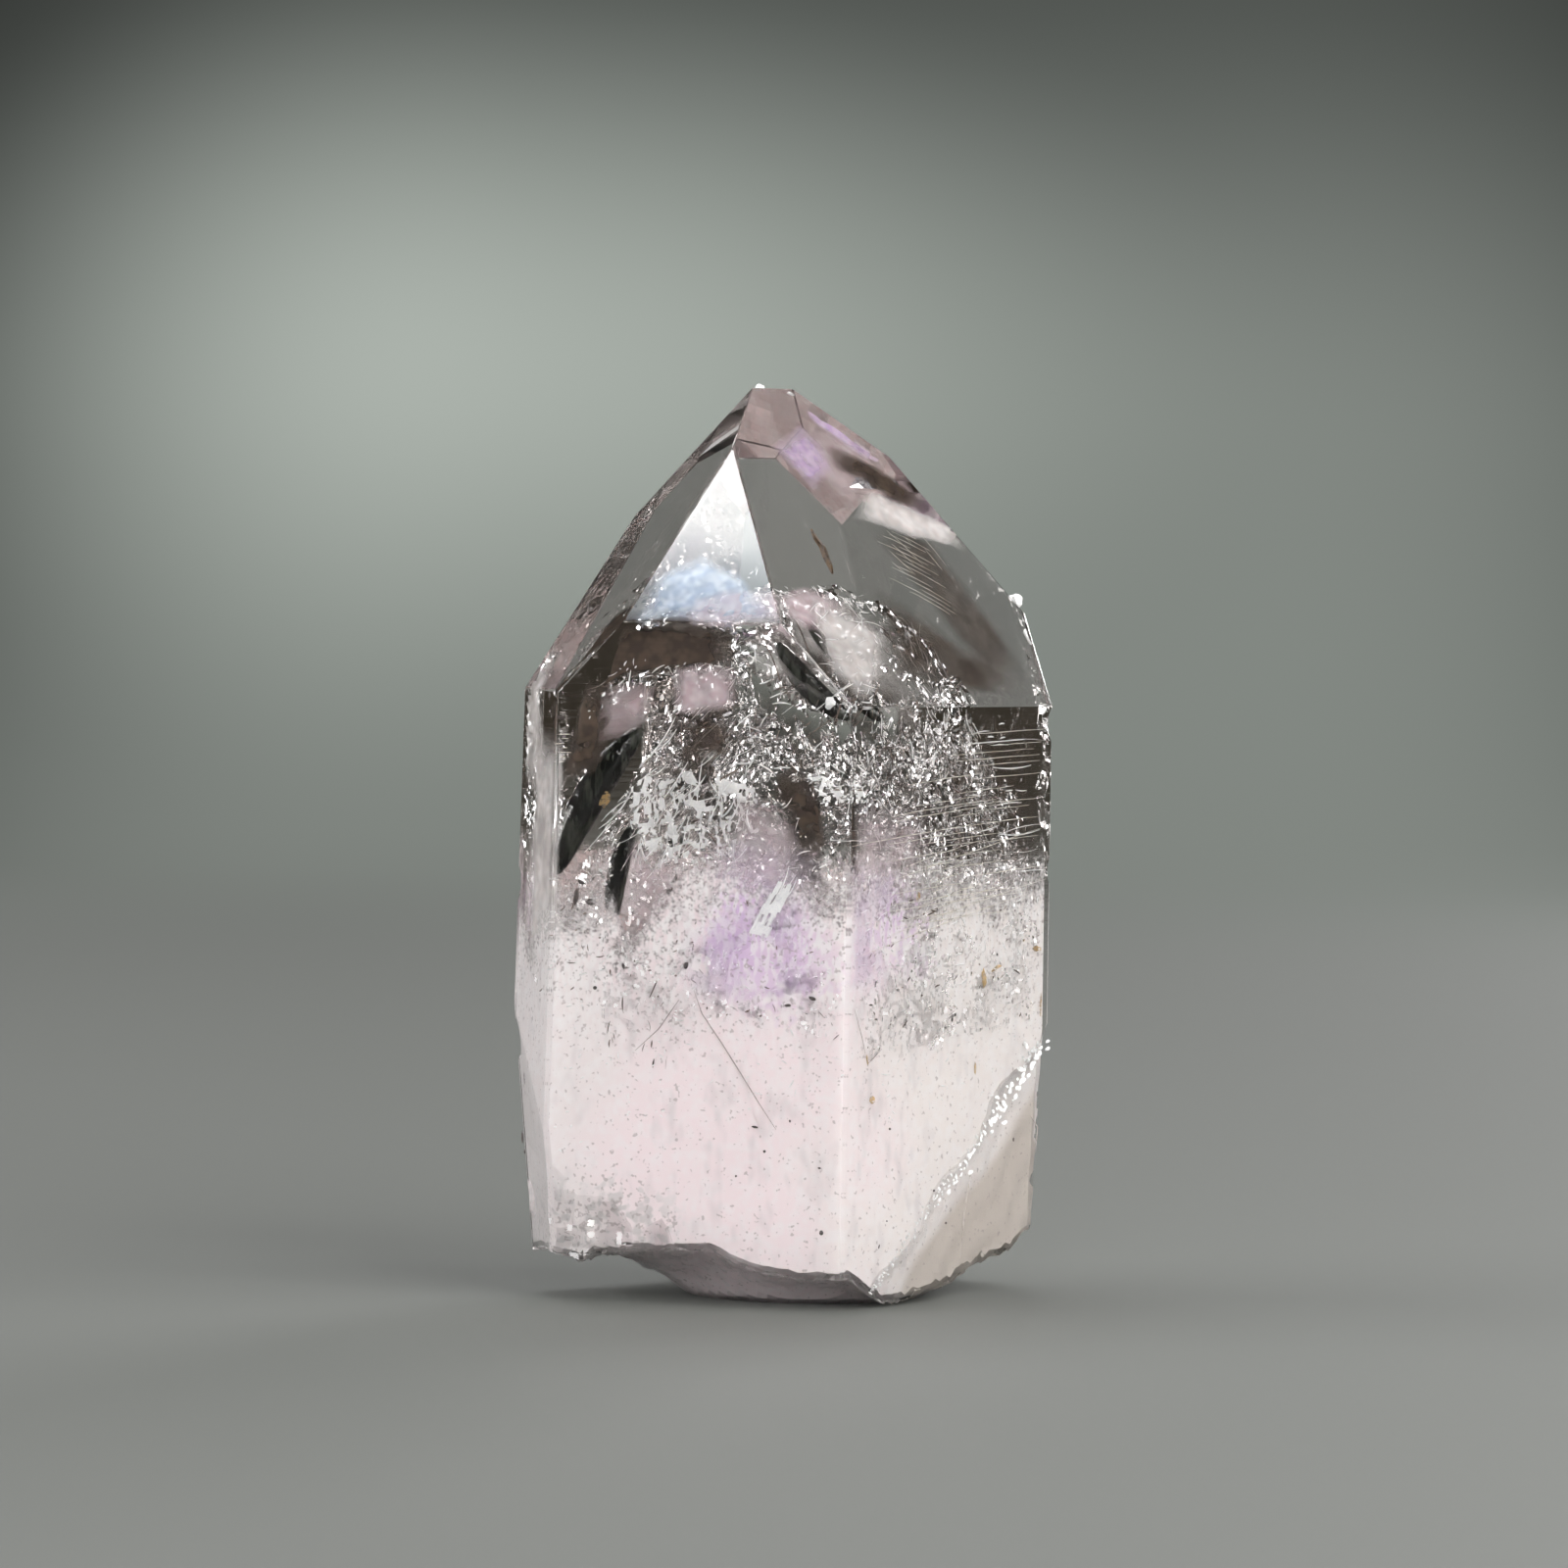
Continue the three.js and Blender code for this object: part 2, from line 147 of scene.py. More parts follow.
def face_place(index, along, height):
    """A frame on a prism face, measured from the face's left corner edge and the foot."""
    outward = face_outward(index)
    left = prism_corner((index - 1) % len(FACE_DISTANCE), height)
    across = Vector((0, 0, 1)).cross(outward).normalized()
    return place_on(left + across * along, outward, Vector((0, 0, 1)))


def flat_faces(inset=0.0):
    """Point and outward direction of every flat face, moved inwards by inset."""
    found = []
    for index, shoulder in enumerate(SHOULDER_HEIGHT):
        flat = face_outward(index)
        found.append((flat * face_distance(index, 0), sloped(flat, 90 - FACE_LEAN[index])))
        found.append((flat * FACE_DISTANCE[index] + Vector((0, 0, shoulder)), sloped(flat, END_SLOPE)))
    corner = prism_corner(BACK_CORNER, CORNER_FACE_START)
    found.append((corner, sloped(outward_of(FRONT_AZIMUTH + (BACK_CORNER + 0.5) * FACE_STEP), CORNER_SLOPE)))
    broken = prism_corner(LEFT_CORNER, LEFT_BREAK_TOP)
    away = Vector((broken.x, broken.y, 0)).normalized()
    found.append((broken, sloped(away, 90 + LEFT_BREAK_LEAN)))
    return [(point - normal * inset, normal) for point, normal in found]


# The photograph's camera, and where a pixel of it lies inside the crystal

def camera_axes(elevation, roll):
    forward = Vector((0, math.cos(elevation), -math.sin(elevation)))
    turn = forward.to_track_quat("-Z", "Y").to_matrix().to_4x4() @ Matrix.Rotation(roll, 4, "Z")
    return forward, turn


def seen_inside(pixel, depth):
    """The point that far behind the crystal's surface along the refracted sight line of a pixel."""
    studio = bpy.context.scene.crystal_studio
    forward, turn = camera_axes(studio.elevation, studio.roll)
    distance = studio.distance / MM
    eye = AIM - forward * distance - CENTRING
    reach = distance * PIXELS_PER_MM
    level = PICTURE / 2
    sight = turn.to_3x3() @ Vector(((pixel[0] - level) / reach, (level - pixel[1]) / reach, -1)).normalized()
    entered, met = -math.inf, None
    for point, normal in flat_faces():
        towards = sight.dot(normal)
        way = (point - eye).dot(normal) / towards
        if towards < 0 and way > entered:
            entered, met = way, normal
    facing = -sight.dot(met)
    ratio = 1 / QUARTZ_IOR
    bent = sight * ratio + met * (ratio * facing - math.sqrt(1 - ratio ** 2 * (1 - facing ** 2)))
    return eye + sight * entered + bent * depth


# Mesh helpers

def cut_off(bm, point, normal):
    """Takes away what lies beyond a plane and closes the cut."""
    everything = bm.verts[:] + bm.edges[:] + bm.faces[:]
    cut = bmesh.ops.bisect_plane(bm, geom=everything, plane_co=point, plane_no=normal, clear_outer=True)
    rim = [item for item in cut["geom_cut"] if isinstance(item, bmesh.types.BMEdge)]
    if rim:
        bmesh.ops.contextual_create(bm, geom=rim)


def to_mesh(bm, name):
    mesh = bpy.data.meshes.new(name)
    bm.to_mesh(mesh)
    bm.free()
    return mesh


def to_object(mesh, name):
    made = bpy.data.objects.new(name, mesh)
    bpy.context.scene.collection.objects.link(made)
    return made


def pressed_cutter(place, span, cell, height, depth_at):
    """A block over a frame, its inner side pressed in by depth_at(u, v)."""
    bm = bmesh.new()
    steps = [max(2, round(side / cell)) for side in span]
    stretch = Matrix.Diagonal((span[0] / 2, span[1] / 2, 1, 1))
    bmesh.ops.create_grid(bm, x_segments=steps[0], y_segments=steps[1], size=1, matrix=stretch)
    lid = bmesh.ops.extrude_face_region(bm, geom=bm.faces[:], use_keep_orig=True)
    raised = {item for item in lid["geom"] if isinstance(item, bmesh.types.BMVert)}
    for vert in bm.verts:
        vert.co.z = height if vert in raised else -depth_at(vert.co.x, vert.co.y)
    bmesh.ops.recalc_face_normals(bm, faces=bm.faces)
    bmesh.ops.transform(bm, matrix=place, verts=bm.verts)
    return bm


def carved(bm, cutters, name):
    """The mesh of bm after each cutter has been taken away from it."""
    block = to_object(to_mesh(bm, name), name)
    helpers = []
    for cutter in cutters:
        helper = to_object(to_mesh(cutter, "cutter"), "cutter")
        cut = block.modifiers.new("Cut", "BOOLEAN")
        cut.operation = "DIFFERENCE"
        cut.solver = "MANIFOLD"
        cut.object = helper
        helpers.append(helper)
    graph = bpy.context.evaluated_depsgraph_get()
    mesh = bpy.data.meshes.new_from_object(block.evaluated_get(graph))
    mesh.name = name
    mesh.materials.clear()
    for spare in [block, *helpers]:
        bpy.data.objects.remove(spare)
    return mesh


def finish_piece(mesh, name, material, smooth_below=None):
    """Puts a mesh in millimetres round the crystal's axis into the part's frame, as a piece that rides on it."""
    mesh.transform(Matrix.Scale(MM, 4) @ Matrix.Translation(CENTRING))
    mesh.name = name
    mesh.materials.append(material)
    if smooth_below is not None:
        mesh.shade_smooth()
        mesh.set_sharp_from_angle(angle=math.radians(smooth_below))
    piece = to_object(mesh, name)
    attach(piece, BODY)
    return piece


# The crystal's broken places

def ragged(point, size, octaves=4):
    """A rough number about -1 to 1 that changes over about size."""
    return noise.fractal(point / size, 0.7, 2.1, octaves)


def front_foot_height(x):
    if x <= FRONT_FOOT[0][0]:
        return FRONT_FOOT[0][1]
    for (x0, z0), (x1, z1) in zip(FRONT_FOOT, FRONT_FOOT[1:]):
        if x <= x1:
            return z0 + (z1 - z0) * (x - x0) / (x1 - x0)
    return FRONT_FOOT[-1][1]


def foot_height(x, y):
    offset = Vector((x, y)) - PATCH_CENTRE
    distance = offset.length
    if distance < 1e-6:
        return 0
    way_out = offset / distance
    patch = 1 / math.hypot(way_out.x / PATCH_RADII.x, way_out.y / PATCH_RADII.y)
    if distance <= patch:
        return 0
    reaches = []
    for index in range(len(FACE_DISTANCE)):
        outward = face_outward(index).to_2d()
        if outward.dot(way_out) > 0:
            reaches.append((face_distance(index, 0) - outward.dot(PATCH_CENTRE)) / outward.dot(way_out))
    way = min(1, (distance - patch) / (min(reaches) - patch))
    rise = 1 - (1 - way) ** 2.6
    back = BACK_FOOT_HEIGHT + 0.9 * math.sin(x * 0.5) + 0.4 * math.sin(x * 1.7)
    blend = smooth_step(-6, 4, y)
    edge = front_foot_height(x) * (1 - blend) + back * blend
    shells = abs(ragged(Vector((x, y, 3.0)), 3.2)) * 0.9 + ragged(Vector((x, y, 9.0)), 0.9) * 0.22
    strength = min(rise, 4 * way * (1 - way) + 0.12)
    return max(0, rise * edge + (shells - 0.25) * strength)


def break_depth(along, height):
    edge = (BREAK_HIGH - BREAK_LOW).normalized()
    offset = Vector((along, height)) - BREAK_LOW
    run = offset.dot(edge)
    wander = 0.45 * math.sin(run * 0.8 + 0.5) + 0.18 * ragged(Vector((run, 0, 5)), 1.1)
    inside = offset.x * edge.y - offset.y * edge.x + wander
    if inside <= 0:
        return max(inside, -1.5)
    lip = 0.4 * smooth_step(0, 1.5, inside)
    bend = 0.06 * max(0, along - 12.2)
    shell = 0.06 * math.sin(inside * 2 * math.pi / 2.3 + 0.4 * ragged(Vector((along, height, 0)), 4))
    grain = 0.05 * ragged(Vector((along, height, 7)), 1.2) * smooth_step(0, 1, inside)
    return BREAK_SLOPE * inside + lip + bend + shell + grain


def chip_depth(along, height):
    wander = 0.6 * math.sin(along * 1.9) + 0.35 * ragged(Vector((along, 0, 2)), 0.9)
    under = CHIP_TOP_LEFT - CHIP_TOP_FALL * along + wander - height
    rough = 0.42 * ragged(Vector((along, height, 4)), 1.3, 5)
    return CHIP_SLOPE * under + rough * min(1, max(0, under))


def tip_depth(u, v):
    return 0.22 * ragged(Vector((u, v, 1)), 1.1)


def corner_shell(corner, height, size, depth):
    """A cutter for a small shell-shaped chip out of a corner edge."""
    edge = prism_corner(corner, height)
    away = Vector((edge.x, edge.y, 0)).normalized()
    bm = bmesh.new()
    middle = Matrix.Translation(edge + away * (size - depth))
    bmesh.ops.create_uvsphere(bm, u_segments=28, v_segments=20, radius=size, matrix=middle)
    return bm


def step_cutter(inset=0.0):
    outward = sloped(face_outward(BACK_FACE), END_SLOPE)
    level = Vector((0, 0, 1)).cross(outward).normalized()
    riser = Matrix.Rotation(math.radians(BACK_STEP_TILT), 3, outward) @ level
    downhill = riser.cross(outward).normalized()
    if downhill.z > 0:
        downhill.negate()
    bm = bmesh.new()
    bmesh.ops.create_cube(bm, size=2 * BLANK)
    cut_off(bm, BACK_STEP_POINT - outward * (BACK_STEP_DEPTH + inset), -outward)
    cut_off(bm, BACK_STEP_POINT - downhill * inset, -downhill)
    bmesh.ops.recalc_face_normals(bm, faces=bm.faces)
    return bm


def rough_cutters(inset=0.0, cell=0.3):
    """The cutters of the broken places, each reaching in by inset more."""
    def deeper(depth_at, along=0.0, height=0.0):
        return lambda u, v: depth_at(u + along, v + height) + inset
    foot_place = place_on(Vector((0, 0, 0)), Vector((0, 0, -1)), Vector((0, 1, 0)))
    tip_place = place_on(TIP_BREAK_POINT, TIP_BREAK_NORMAL, Vector((0, 1, 0)))
    cutters = [
        pressed_cutter(face_place(BREAK_FACE, 11.5, 7), (19, 26), cell, CUT_HEIGHT, deeper(break_depth, 11.5, 7)),
        pressed_cutter(face_place(CHIP_FACE, 9, 3), (22, 14), cell, CUT_HEIGHT, deeper(chip_depth, 9, 3)),
        pressed_cutter(tip_place, (7, 7), cell, CUT_HEIGHT, deeper(tip_depth)),
        pressed_cutter(foot_place, FOOT_SPAN, cell, CUT_HEIGHT + 3, deeper(lambda u, v: foot_height(-u, v))),
    ]
    cutters += [corner_shell(LEFT_CORNER, height, size, depth + inset) for height, size, depth in LEFT_CHIPS]
    cutters += [corner_shell(RIGHT_CORNER, height, size, depth + inset) for height, size, depth in RIGHT_CHIPS]
    return cutters


def heart_top_cutter(left_top, right_top):
    """Takes away what is above the lumpy top of the cloud's inside."""
    def lumps(x, y):
        top = left_top + (right_top - left_top) * smooth_step(-9, 6, x) - 2.2
        return -(top + 1.4 * ragged(Vector((x, y, 4)), 4.5) + 0.3 * ragged(Vector((x, y, 8)), 1.2))
    return pressed_cutter(Matrix.Identity(4), (40, 36), 0.7, BLANK, lumps)


def crystal_block(inset=0.0, edge_softness=0.0):
    """The crystal before its broken places are cut: flat faces, with softened edges."""
    bm = bmesh.new()
    bmesh.ops.create_cube(bm, size=2 * BLANK)
    for point, normal in [*flat_faces(inset), (Vector((0, 0, BLANK_FOOT)), Vector((0, 0, -1)))]:
        cut_off(bm, point, normal)
    bmesh.ops.recalc_face_normals(bm, faces=bm.faces)
    if edge_softness:
        bmesh.ops.bevel(bm, geom=bm.edges[:], offset=edge_softness, offset_type="OFFSET", segments=2,
                        profile=0.5, affect="EDGES", material=-1, clamp_overlap=True)
    return bm


# Hollow films inside the crystal, torn into threads and flakes, which shine where they throw the light back

# Each film hangs between a top and a foot line of photo pixels, the two lines at these depths in the crystal.
# threads is the length and the width of its threads in millimetres, cover how much of it is left.
FILMS = [
    {"name": "dome", "top": [(752, 668), (764, 630), (800, 607), (850, 601), (900, 613), (940, 650), (968, 690),
                             (988, 728), (1004, 775), (1014, 850)],
     "foot": [(745, 830), (770, 840), (795, 850), (820, 855), (845, 855), (865, 855), (885, 860), (905, 865),
              (935, 870), (955, 880)],
     "depths": (8, 5), "bow": -2.0, "threads": (2.4, 0.5), "cover": 0.26, "rim": 0.5, "crumple": 0.7},
    {"name": "belt", "top": [(590, 780), (640, 742), (700, 745), (760, 722), (820, 735), (880, 720), (940, 735),
                             (1000, 760), (1035, 800)],
     "foot": [(590, 900), (640, 905), (700, 890), (760, 890), (820, 930), (880, 950), (940, 950), (1000, 940),
              (1040, 930)],
     "depths": (6, 4), "bow": 1.2, "threads": (0.6, 0.6), "cover": 0.17, "rim": 0, "crumple": 1.0},
    {"name": "deep_belt", "top": [(640, 690), (720, 680), (780, 650), (860, 700), (930, 720), (990, 760)],
     "foot": [(650, 900), (720, 930), (780, 930), (860, 930), (930, 930), (990, 920)],
     "depths": (11, 9), "bow": 1.5, "threads": (0.5, 1.6), "cover": 0.15, "rim": 0, "crumple": 0.9},
    {"name": "slant", "top": [(590, 800), (640, 735), (700, 690), (762, 645)],
     "foot": [(600, 905), (660, 880), (730, 850), (790, 800)],
     "depths": (7, 5), "bow": 0, "threads": (2.2, 0.45), "cover": 0.2, "rim": 0.15, "crumple": 0.75},
    {"name": "upper_arc", "top": [(598, 702), (640, 680), (700, 674), (748, 668)],
     "foot": [(604, 735), (640, 705), (700, 690), (752, 690)],
     "depths": (6, 5), "bow": 0, "threads": (0.8, 0.5), "cover": 0.3, "rim": 0, "crumple": 0.9},
    {"name": "glint", "top": [(790, 898), (808, 903)], "foot": [(762, 952), (785, 958)],
     "depths": (1.6, 1.0), "bow": 0, "threads": (0.7, 2.0), "cover": 0.8, "rim": 0, "crumple": 0.9, "coarse": 1.6},
    {"name": "right_threads", "top": [(905, 735), (960, 742), (1010, 770), (1048, 800)],
     "foot": [(905, 960), (960, 965), (1010, 960), (1052, 960)],
     "depths": (4, 2), "bow": 0, "threads": (0.4, 1.6), "cover": 0.17, "rim": 0, "crumple": 0.8},
    {"name": "triangle_foot", "top": [(648, 600), (700, 590), (760, 596), (800, 606)],
     "foot": [(640, 630), (700, 634), (760, 636), (800, 638)],
     "depths": (2.2, 1.2), "bow": 0, "threads": (0.7, 0.6), "cover": 0.3, "rim": 0, "crumple": 0.9},
    {"name": "flecks_left", "top": [(548, 855), (620, 880), (700, 905), (780, 890), (862, 885)],
     "foot": [(545, 1020), (620, 1050), (700, 1060), (780, 1050), (862, 1070)],
     "depths": (0.8, 0.24), "threads": (0.5, 0.5), "cover": 0.10, "rim": 0.14, "crumple": 0.33},
    {"name": "flecks_right", "top": [(880, 885), (940, 870), (1000, 880), (1058, 880)],
     "foot": [(880, 1080), (940, 1080), (1000, 1060), (1060, 1040)],
     "depths": (0.8, 0.24), "threads": (0.4, 0.6), "cover": 0.12, "rim": 0.14, "crumple": 0.33},
    {"name": "left_strip", "top": [(549, 650), (560, 655), (573, 660)], "foot": [(541, 930), (556, 935), (574, 940)],
     "depths": (1.0, 1.0), "bow": 0, "threads": (0.4, 2.2), "cover": 0.22, "rim": 0, "crumple": 0.5},
    {"name": "right_strip", "top": [(1028, 606), (1042, 612)], "foot": [(1060, 905), (1071, 905)],
     "depths": (0.5, 0.5), "bow": 0, "threads": (0.4, 1.4), "cover": 0.3, "rim": 0, "crumple": 0.5},
]
# White flakes, hung the same way; the glow flake is a painted glint, white paint where a flake throws the light back
FLAKES = [
    {"name": "burst", "top": [(645, 800), (690, 785), (735, 790), (780, 805)],
     "foot": [(640, 872), (690, 884), (735, 878), (775, 862)],
     "depths": (3.2, 2.6), "threads": (0.3, 1.1), "cover": 0.14, "rim": 0.1, "crumple": 0.9},
    {"name": "burst_side", "top": [(800, 788), (840, 783), (882, 788)], "foot": [(805, 812), (840, 810), (882, 818)],
     "depths": (3, 3), "threads": (0.35, 0.5), "cover": 0.2, "rim": 0, "crumple": 0.9},
    {"name": "glow", "top": [(792, 898), (808, 903)], "foot": [(764, 952), (786, 957)],
     "depths": (0.34, 0.3), "threads": (0.3, 2.2), "cover": 0.5, "rim": 0, "crumple": 0.12},
]
FILM_MARGIN = 0.12  # of crystal left between a film and the faces
# Where the dark pockets and the darkest clear windows are seen, along a line of two pixels and so many pixels to
# each side of it: no film there
DARK_VIEWS = [
    ((574, 880), (650, 752), 17), ((624, 940), (643, 856), 9), ((797, 660), (856, 730), 9),
    ((808, 795), (860, 885), 14), ((672, 658), (738, 658), 12), ((585, 735), (592, 790), 12),
    ((706, 772), (722, 790), 9),
]


def on_line(points, way):
    """The point that far along a line of points, way being between 0 and 1."""
    reach = way * (len(points) - 1)
    step = min(int(reach), len(points) - 2)
    return points[step].lerp(points[step + 1], reach - step)


def line_length(points):
    return sum((b - a).length for a, b in zip(points, points[1:]))


def crumpled(spot, strength):
    big = noise.noise_vector(spot / 3.1 + Vector((7, 1, 3)))
    small = noise.noise_vector(spot / 0.9)
    fine = noise.noise_vector(spot / 0.33 + Vector((2, 9, 4)))
    return spot + (big * 1.1 + small * 0.45 + fine * 0.2) * strength


def hung_grid(sheet, cell):
    """A flat grid with the size of a sheet, and where each of its points hangs in the crystal."""
    top = [seen_inside(pixel, sheet["depths"][0]) for pixel in sheet["top"]]
    foot = [seen_inside(pixel, sheet["depths"][1]) for pixel in sheet["foot"]]
    wide = (line_length(top) + line_length(foot)) / 2
    tall = sum((a - b).length for a, b in zip(top, foot)) / len(top)
    bm = bmesh.new()
    steps = [max(3, round(side / cell)) for side in (wide, tall)]
    bmesh.ops.create_grid(bm, x_segments=steps[0], y_segments=steps[1], size=1)

    def hang(flat):
        across, up = (flat.x + 1) / 2, (flat.y + 1) / 2
        spot = on_line(foot, across).lerp(on_line(top, across), up)
        spot.y += sheet.get("bow", 0) * math.sin(up * math.pi)
        return spot
    return bm, wide, tall, hang


def trimmed(bm, margin):
    """Takes away the faces that come nearer to the crystal's outside than the margin."""
    faces = flat_faces()
    outside = [face for face in bm.faces
               if any((vert.co - on).dot(normal) > -margin for vert in face.verts for on, normal in faces)]
    bmesh.ops.delete(bm, geom=outside, context="FACES")


def thickened(bm, thickness):
    """Gives a sheet its thickness and closes it all round."""
    bm.normal_update()
    raised = bmesh.ops.extrude_face_region(bm, geom=bm.faces[:], use_keep_orig=True)
    for item in raised["geom"]:
        if isinstance(item, bmesh.types.BMVert):
            item.co += item.normal * thickness
    bmesh.ops.recalc_face_normals(bm, faces=bm.faces)


def in_dark_view(pixel):
    for start, end, reach in DARK_VIEWS:
        start, end = Vector(start), Vector(end)
        along = min(1, max(0, (pixel - start).dot(end - start) / (end - start).length_squared))
        if (pixel - start.lerp(end, along)).length < reach:
            return True
    return False


def film_block(film, cell, thickness):
    """A crumpled film torn into threads and flakes, each closed all round."""
    bm, wide, tall, hang = hung_grid(film, cell * film.get("coarse", 1))
    seed = sum(film["top"][0])
    gone = []
    for face in bm.faces:
        middle = face.calc_center_median()
        across, up = (middle.x + 1) / 2, (middle.y + 1) / 2
        lay = Vector((across * wide, up * tall, seed))
        thread = Vector((lay.x / film["threads"][0], lay.y / film["threads"][1], seed))
        patch = 1 + 0.9 * ragged(lay, 3.0, 2)
        rim = film["rim"] * smooth_step(0.72, 0.96, up)
        border = smooth_step(0, 0.12, min(across, 1 - across)) * smooth_step(0, 0.1, up)
        if abs(noise.noise(thread)) > (film["cover"] + rim) * patch * (0.25 + 0.75 * border):
            gone.append(face)
    bmesh.ops.delete(bm, geom=gone, context="FACES")
    hiding = []
    lines = [[Vector(pixel).to_3d() for pixel in film[edge]] for edge in ("foot", "top")]
    for vert in bm.verts:
        foot, top = (on_line(line, (vert.co.x + 1) / 2) for line in lines)
        pixel = foot.lerp(top, (vert.co.y + 1) / 2).to_2d()
        hung = hang(vert.co)
        vert.co = crumpled(hung, film["crumple"])
        moved = vert.co - hung
        if in_dark_view(pixel + Vector((moved.x, -moved.z)) * PIXELS_PER_MM):
            hiding.append(vert)
    bmesh.ops.delete(bm, geom=hiding, context="VERTS")
    trimmed(bm, FILM_MARGIN)
    thickened(bm, thickness)
    return bm


# Thin clouds in the clear quartz, hung as the films are, thinning out towards their rims

# Dark brown sheets of painted shade: they darken the clear quartz where it shows the shadowed floor and dark
# reflections of its surroundings
PAINTED_SHADE_CLOUDS = [
    {"top": [(590, 680), (640, 636), (700, 638), (752, 638)], "foot": [(582, 722), (640, 690), (700, 686), (752, 682)],
     "depths": (4, 4), "cover": 2.4},
    {"top": [(575, 690), (600, 690), (632, 690)], "foot": [(572, 800), (590, 800), (612, 790)],
     "depths": (3, 3), "cover": 1.6},
    {"top": [(640, 690), (740, 655), (860, 660), (960, 715), (1015, 790)],
     "foot": [(640, 880), (740, 860), (850, 890), (950, 890), (1015, 890)], "depths": (9, 9), "cover": 1.0},
    {"top": [(792, 765), (830, 770), (872, 790)], "foot": [(796, 900), (835, 925), (880, 930)],
     "depths": (5, 5), "cover": 1.3},
    {"top": [(900, 500), (955, 560), (1005, 620), (1058, 700)], "foot": [(880, 535), (935, 600), (985, 665),
                                                                    (1040, 735)],
     "depths": (3, 3), "cover": 0.8},
    {"top": [(885, 590), (960, 640), (1040, 700)], "foot": [(905, 700), (960, 708), (1030, 712)],
     "depths": (2.5, 2), "cover": 1.0},
    {"top": [(945, 715), (1010, 712), (1062, 712)], "foot": [(960, 900), (1015, 905), (1064, 905)],
     "depths": (2.5, 2), "cover": 0.4},
    {"top": [(697, 735), (726, 735), (755, 738)], "foot": [(697, 772), (726, 774), (755, 772)],
     "depths": (2, 2), "cover": 1.3},
    {"top": [(838, 447), (870, 462), (905, 484), (955, 515)], "foot": [(850, 476), (880, 494), (912, 510), (955, 526)],
     "depths": (0.5, 0.4), "cover": 1.4},
]
ROSE_CLOUDS = [
    {"top": [(685, 682), (720, 676), (755, 684)], "foot": [(685, 728), (720, 730), (755, 724)],
     "depths": (2.0, 2.0), "cover": 1.5},
    {"top": [(790, 606), (820, 598), (862, 610)], "foot": [(790, 642), (825, 645), (862, 650)],
     "depths": (2.5, 2.5), "cover": 1.6},
    {"top": [(612, 700), (645, 695), (672, 702)], "foot": [(606, 760), (630, 755), (660, 740)],
     "depths": (3, 3), "cover": 0.9},
    {"top": [(745, 800), (775, 815), (815, 850)], "foot": [(740, 905), (775, 915), (815, 915)],
     "depths": (2.5, 2), "cover": 0.9},
    {"top": [(640, 850), (675, 865), (715, 880)], "foot": [(630, 955), (670, 965), (715, 965)],
     "depths": (2.5, 2), "cover": 0.9},
    {"top": [(868, 820), (900, 815), (950, 830)], "foot": [(868, 960), (900, 970), (940, 960)],
     "depths": (1.0, 0.8), "cover": 0.7},
    {"top": [(700, 612), (750, 598), (800, 606)], "foot": [(690, 637), (750, 639), (799, 640)],
     "depths": (0.6, 0.4), "cover": 1.2},
    {"top": [(825, 425), (870, 452), (905, 478)], "foot": [(815, 470), (845, 500), (872, 530)],
     "depths": (0.7, 0.7), "cover": 0.6},
]
LAVENDER_CLOUDS = [
    {"top": [(815, 430), (838, 452), (850, 480)], "foot": [(786, 456), (810, 480), (832, 505)],
     "depths": (0.5, 0.5), "cover": 1.3},
    {"top": [(812, 408), (850, 432), (915, 480)], "foot": [(818, 420), (850, 445), (905, 486)],
     "depths": (0.3, 0.3), "cover": 1.3},
    {"top": [(725, 850), (780, 840), (840, 860)], "foot": [(680, 1010), (760, 1050), (840, 1040)],
     "depths": (0.8, 0.3), "cover": 0.5},
    {"top": [(862, 870), (885, 870), (920, 880)], "foot": [(864, 1020), (885, 1025), (908, 1020)],
     "depths": (0.6, 0.3), "cover": 0.5},
]
# Pale sheets, partly pale haze inside the quartz and partly painted light that brightens the left strip and a cream
# band in the tip
HAZE_AND_PAINTED_LIGHT_CLOUDS = [
    {"top": [(752, 640), (800, 606), (850, 606), (905, 640), (950, 700)],
     "foot": [(760, 690), (800, 700), (850, 720), (905, 740), (940, 760)],
     "depths": (5, 5), "cover": 0.8},
    {"top": [(547, 650), (572, 655)], "foot": [(541, 820), (573, 820)], "depths": (0.6, 0.6), "cover": 2.0},
    {"top": [(545, 740), (574, 740)], "foot": [(540, 1000), (573, 1000)], "depths": (0.5, 0.5), "cover": 3.2},
    {"top": [(820, 604), (862, 614), (905, 650)], "foot": [(836, 692), (868, 724), (897, 726)],
     "depths": (1.5, 1.5), "cover": 2.6},
    {"top": [(880, 496), (930, 515), (990, 552)], "foot": [(868, 530), (925, 545), (985, 566)],
     "depths": (0.7, 0.7), "cover": 4.2},
]
# A bluish sheet just inside the front end face: painted reflection, for the bluish cloudy lower part of that face's
# mirror image
PAINTED_REFLECTION_CLOUDS = [
    {"top": [(668, 590), (715, 565), (770, 595)], "foot": [(636, 631), (715, 634), (797, 637)],
     "depths": (0.8, 0.5)},
]


def joined(parts):
    """One bmesh made of several, which are used up."""
    bm = bmesh.new()
    for part in parts:
        spare = to_mesh(part, "part")
        bm.from_mesh(spare)
        bpy.data.meshes.remove(spare)
    return bm


def cloud_block(cloud, cell):
    """A thin closed sheet whose attribute fade falls from 1 inside to 0 at its rim."""
    bm, wide, tall, hang = hung_grid(cloud, cell)
    fade = bm.verts.layers.float.new("fade")
    for vert in bm.verts:
        rim = min(1 - abs(vert.co.x), 1 - abs(vert.co.y))
        vert[fade] = smooth_step(0, 0.55, rim) * cloud.get("cover", 1)
        vert.co = crumpled(hang(vert.co), 0.3)
    trimmed(bm, FILM_MARGIN)
    thickened(bm, 0.08)
    return bm


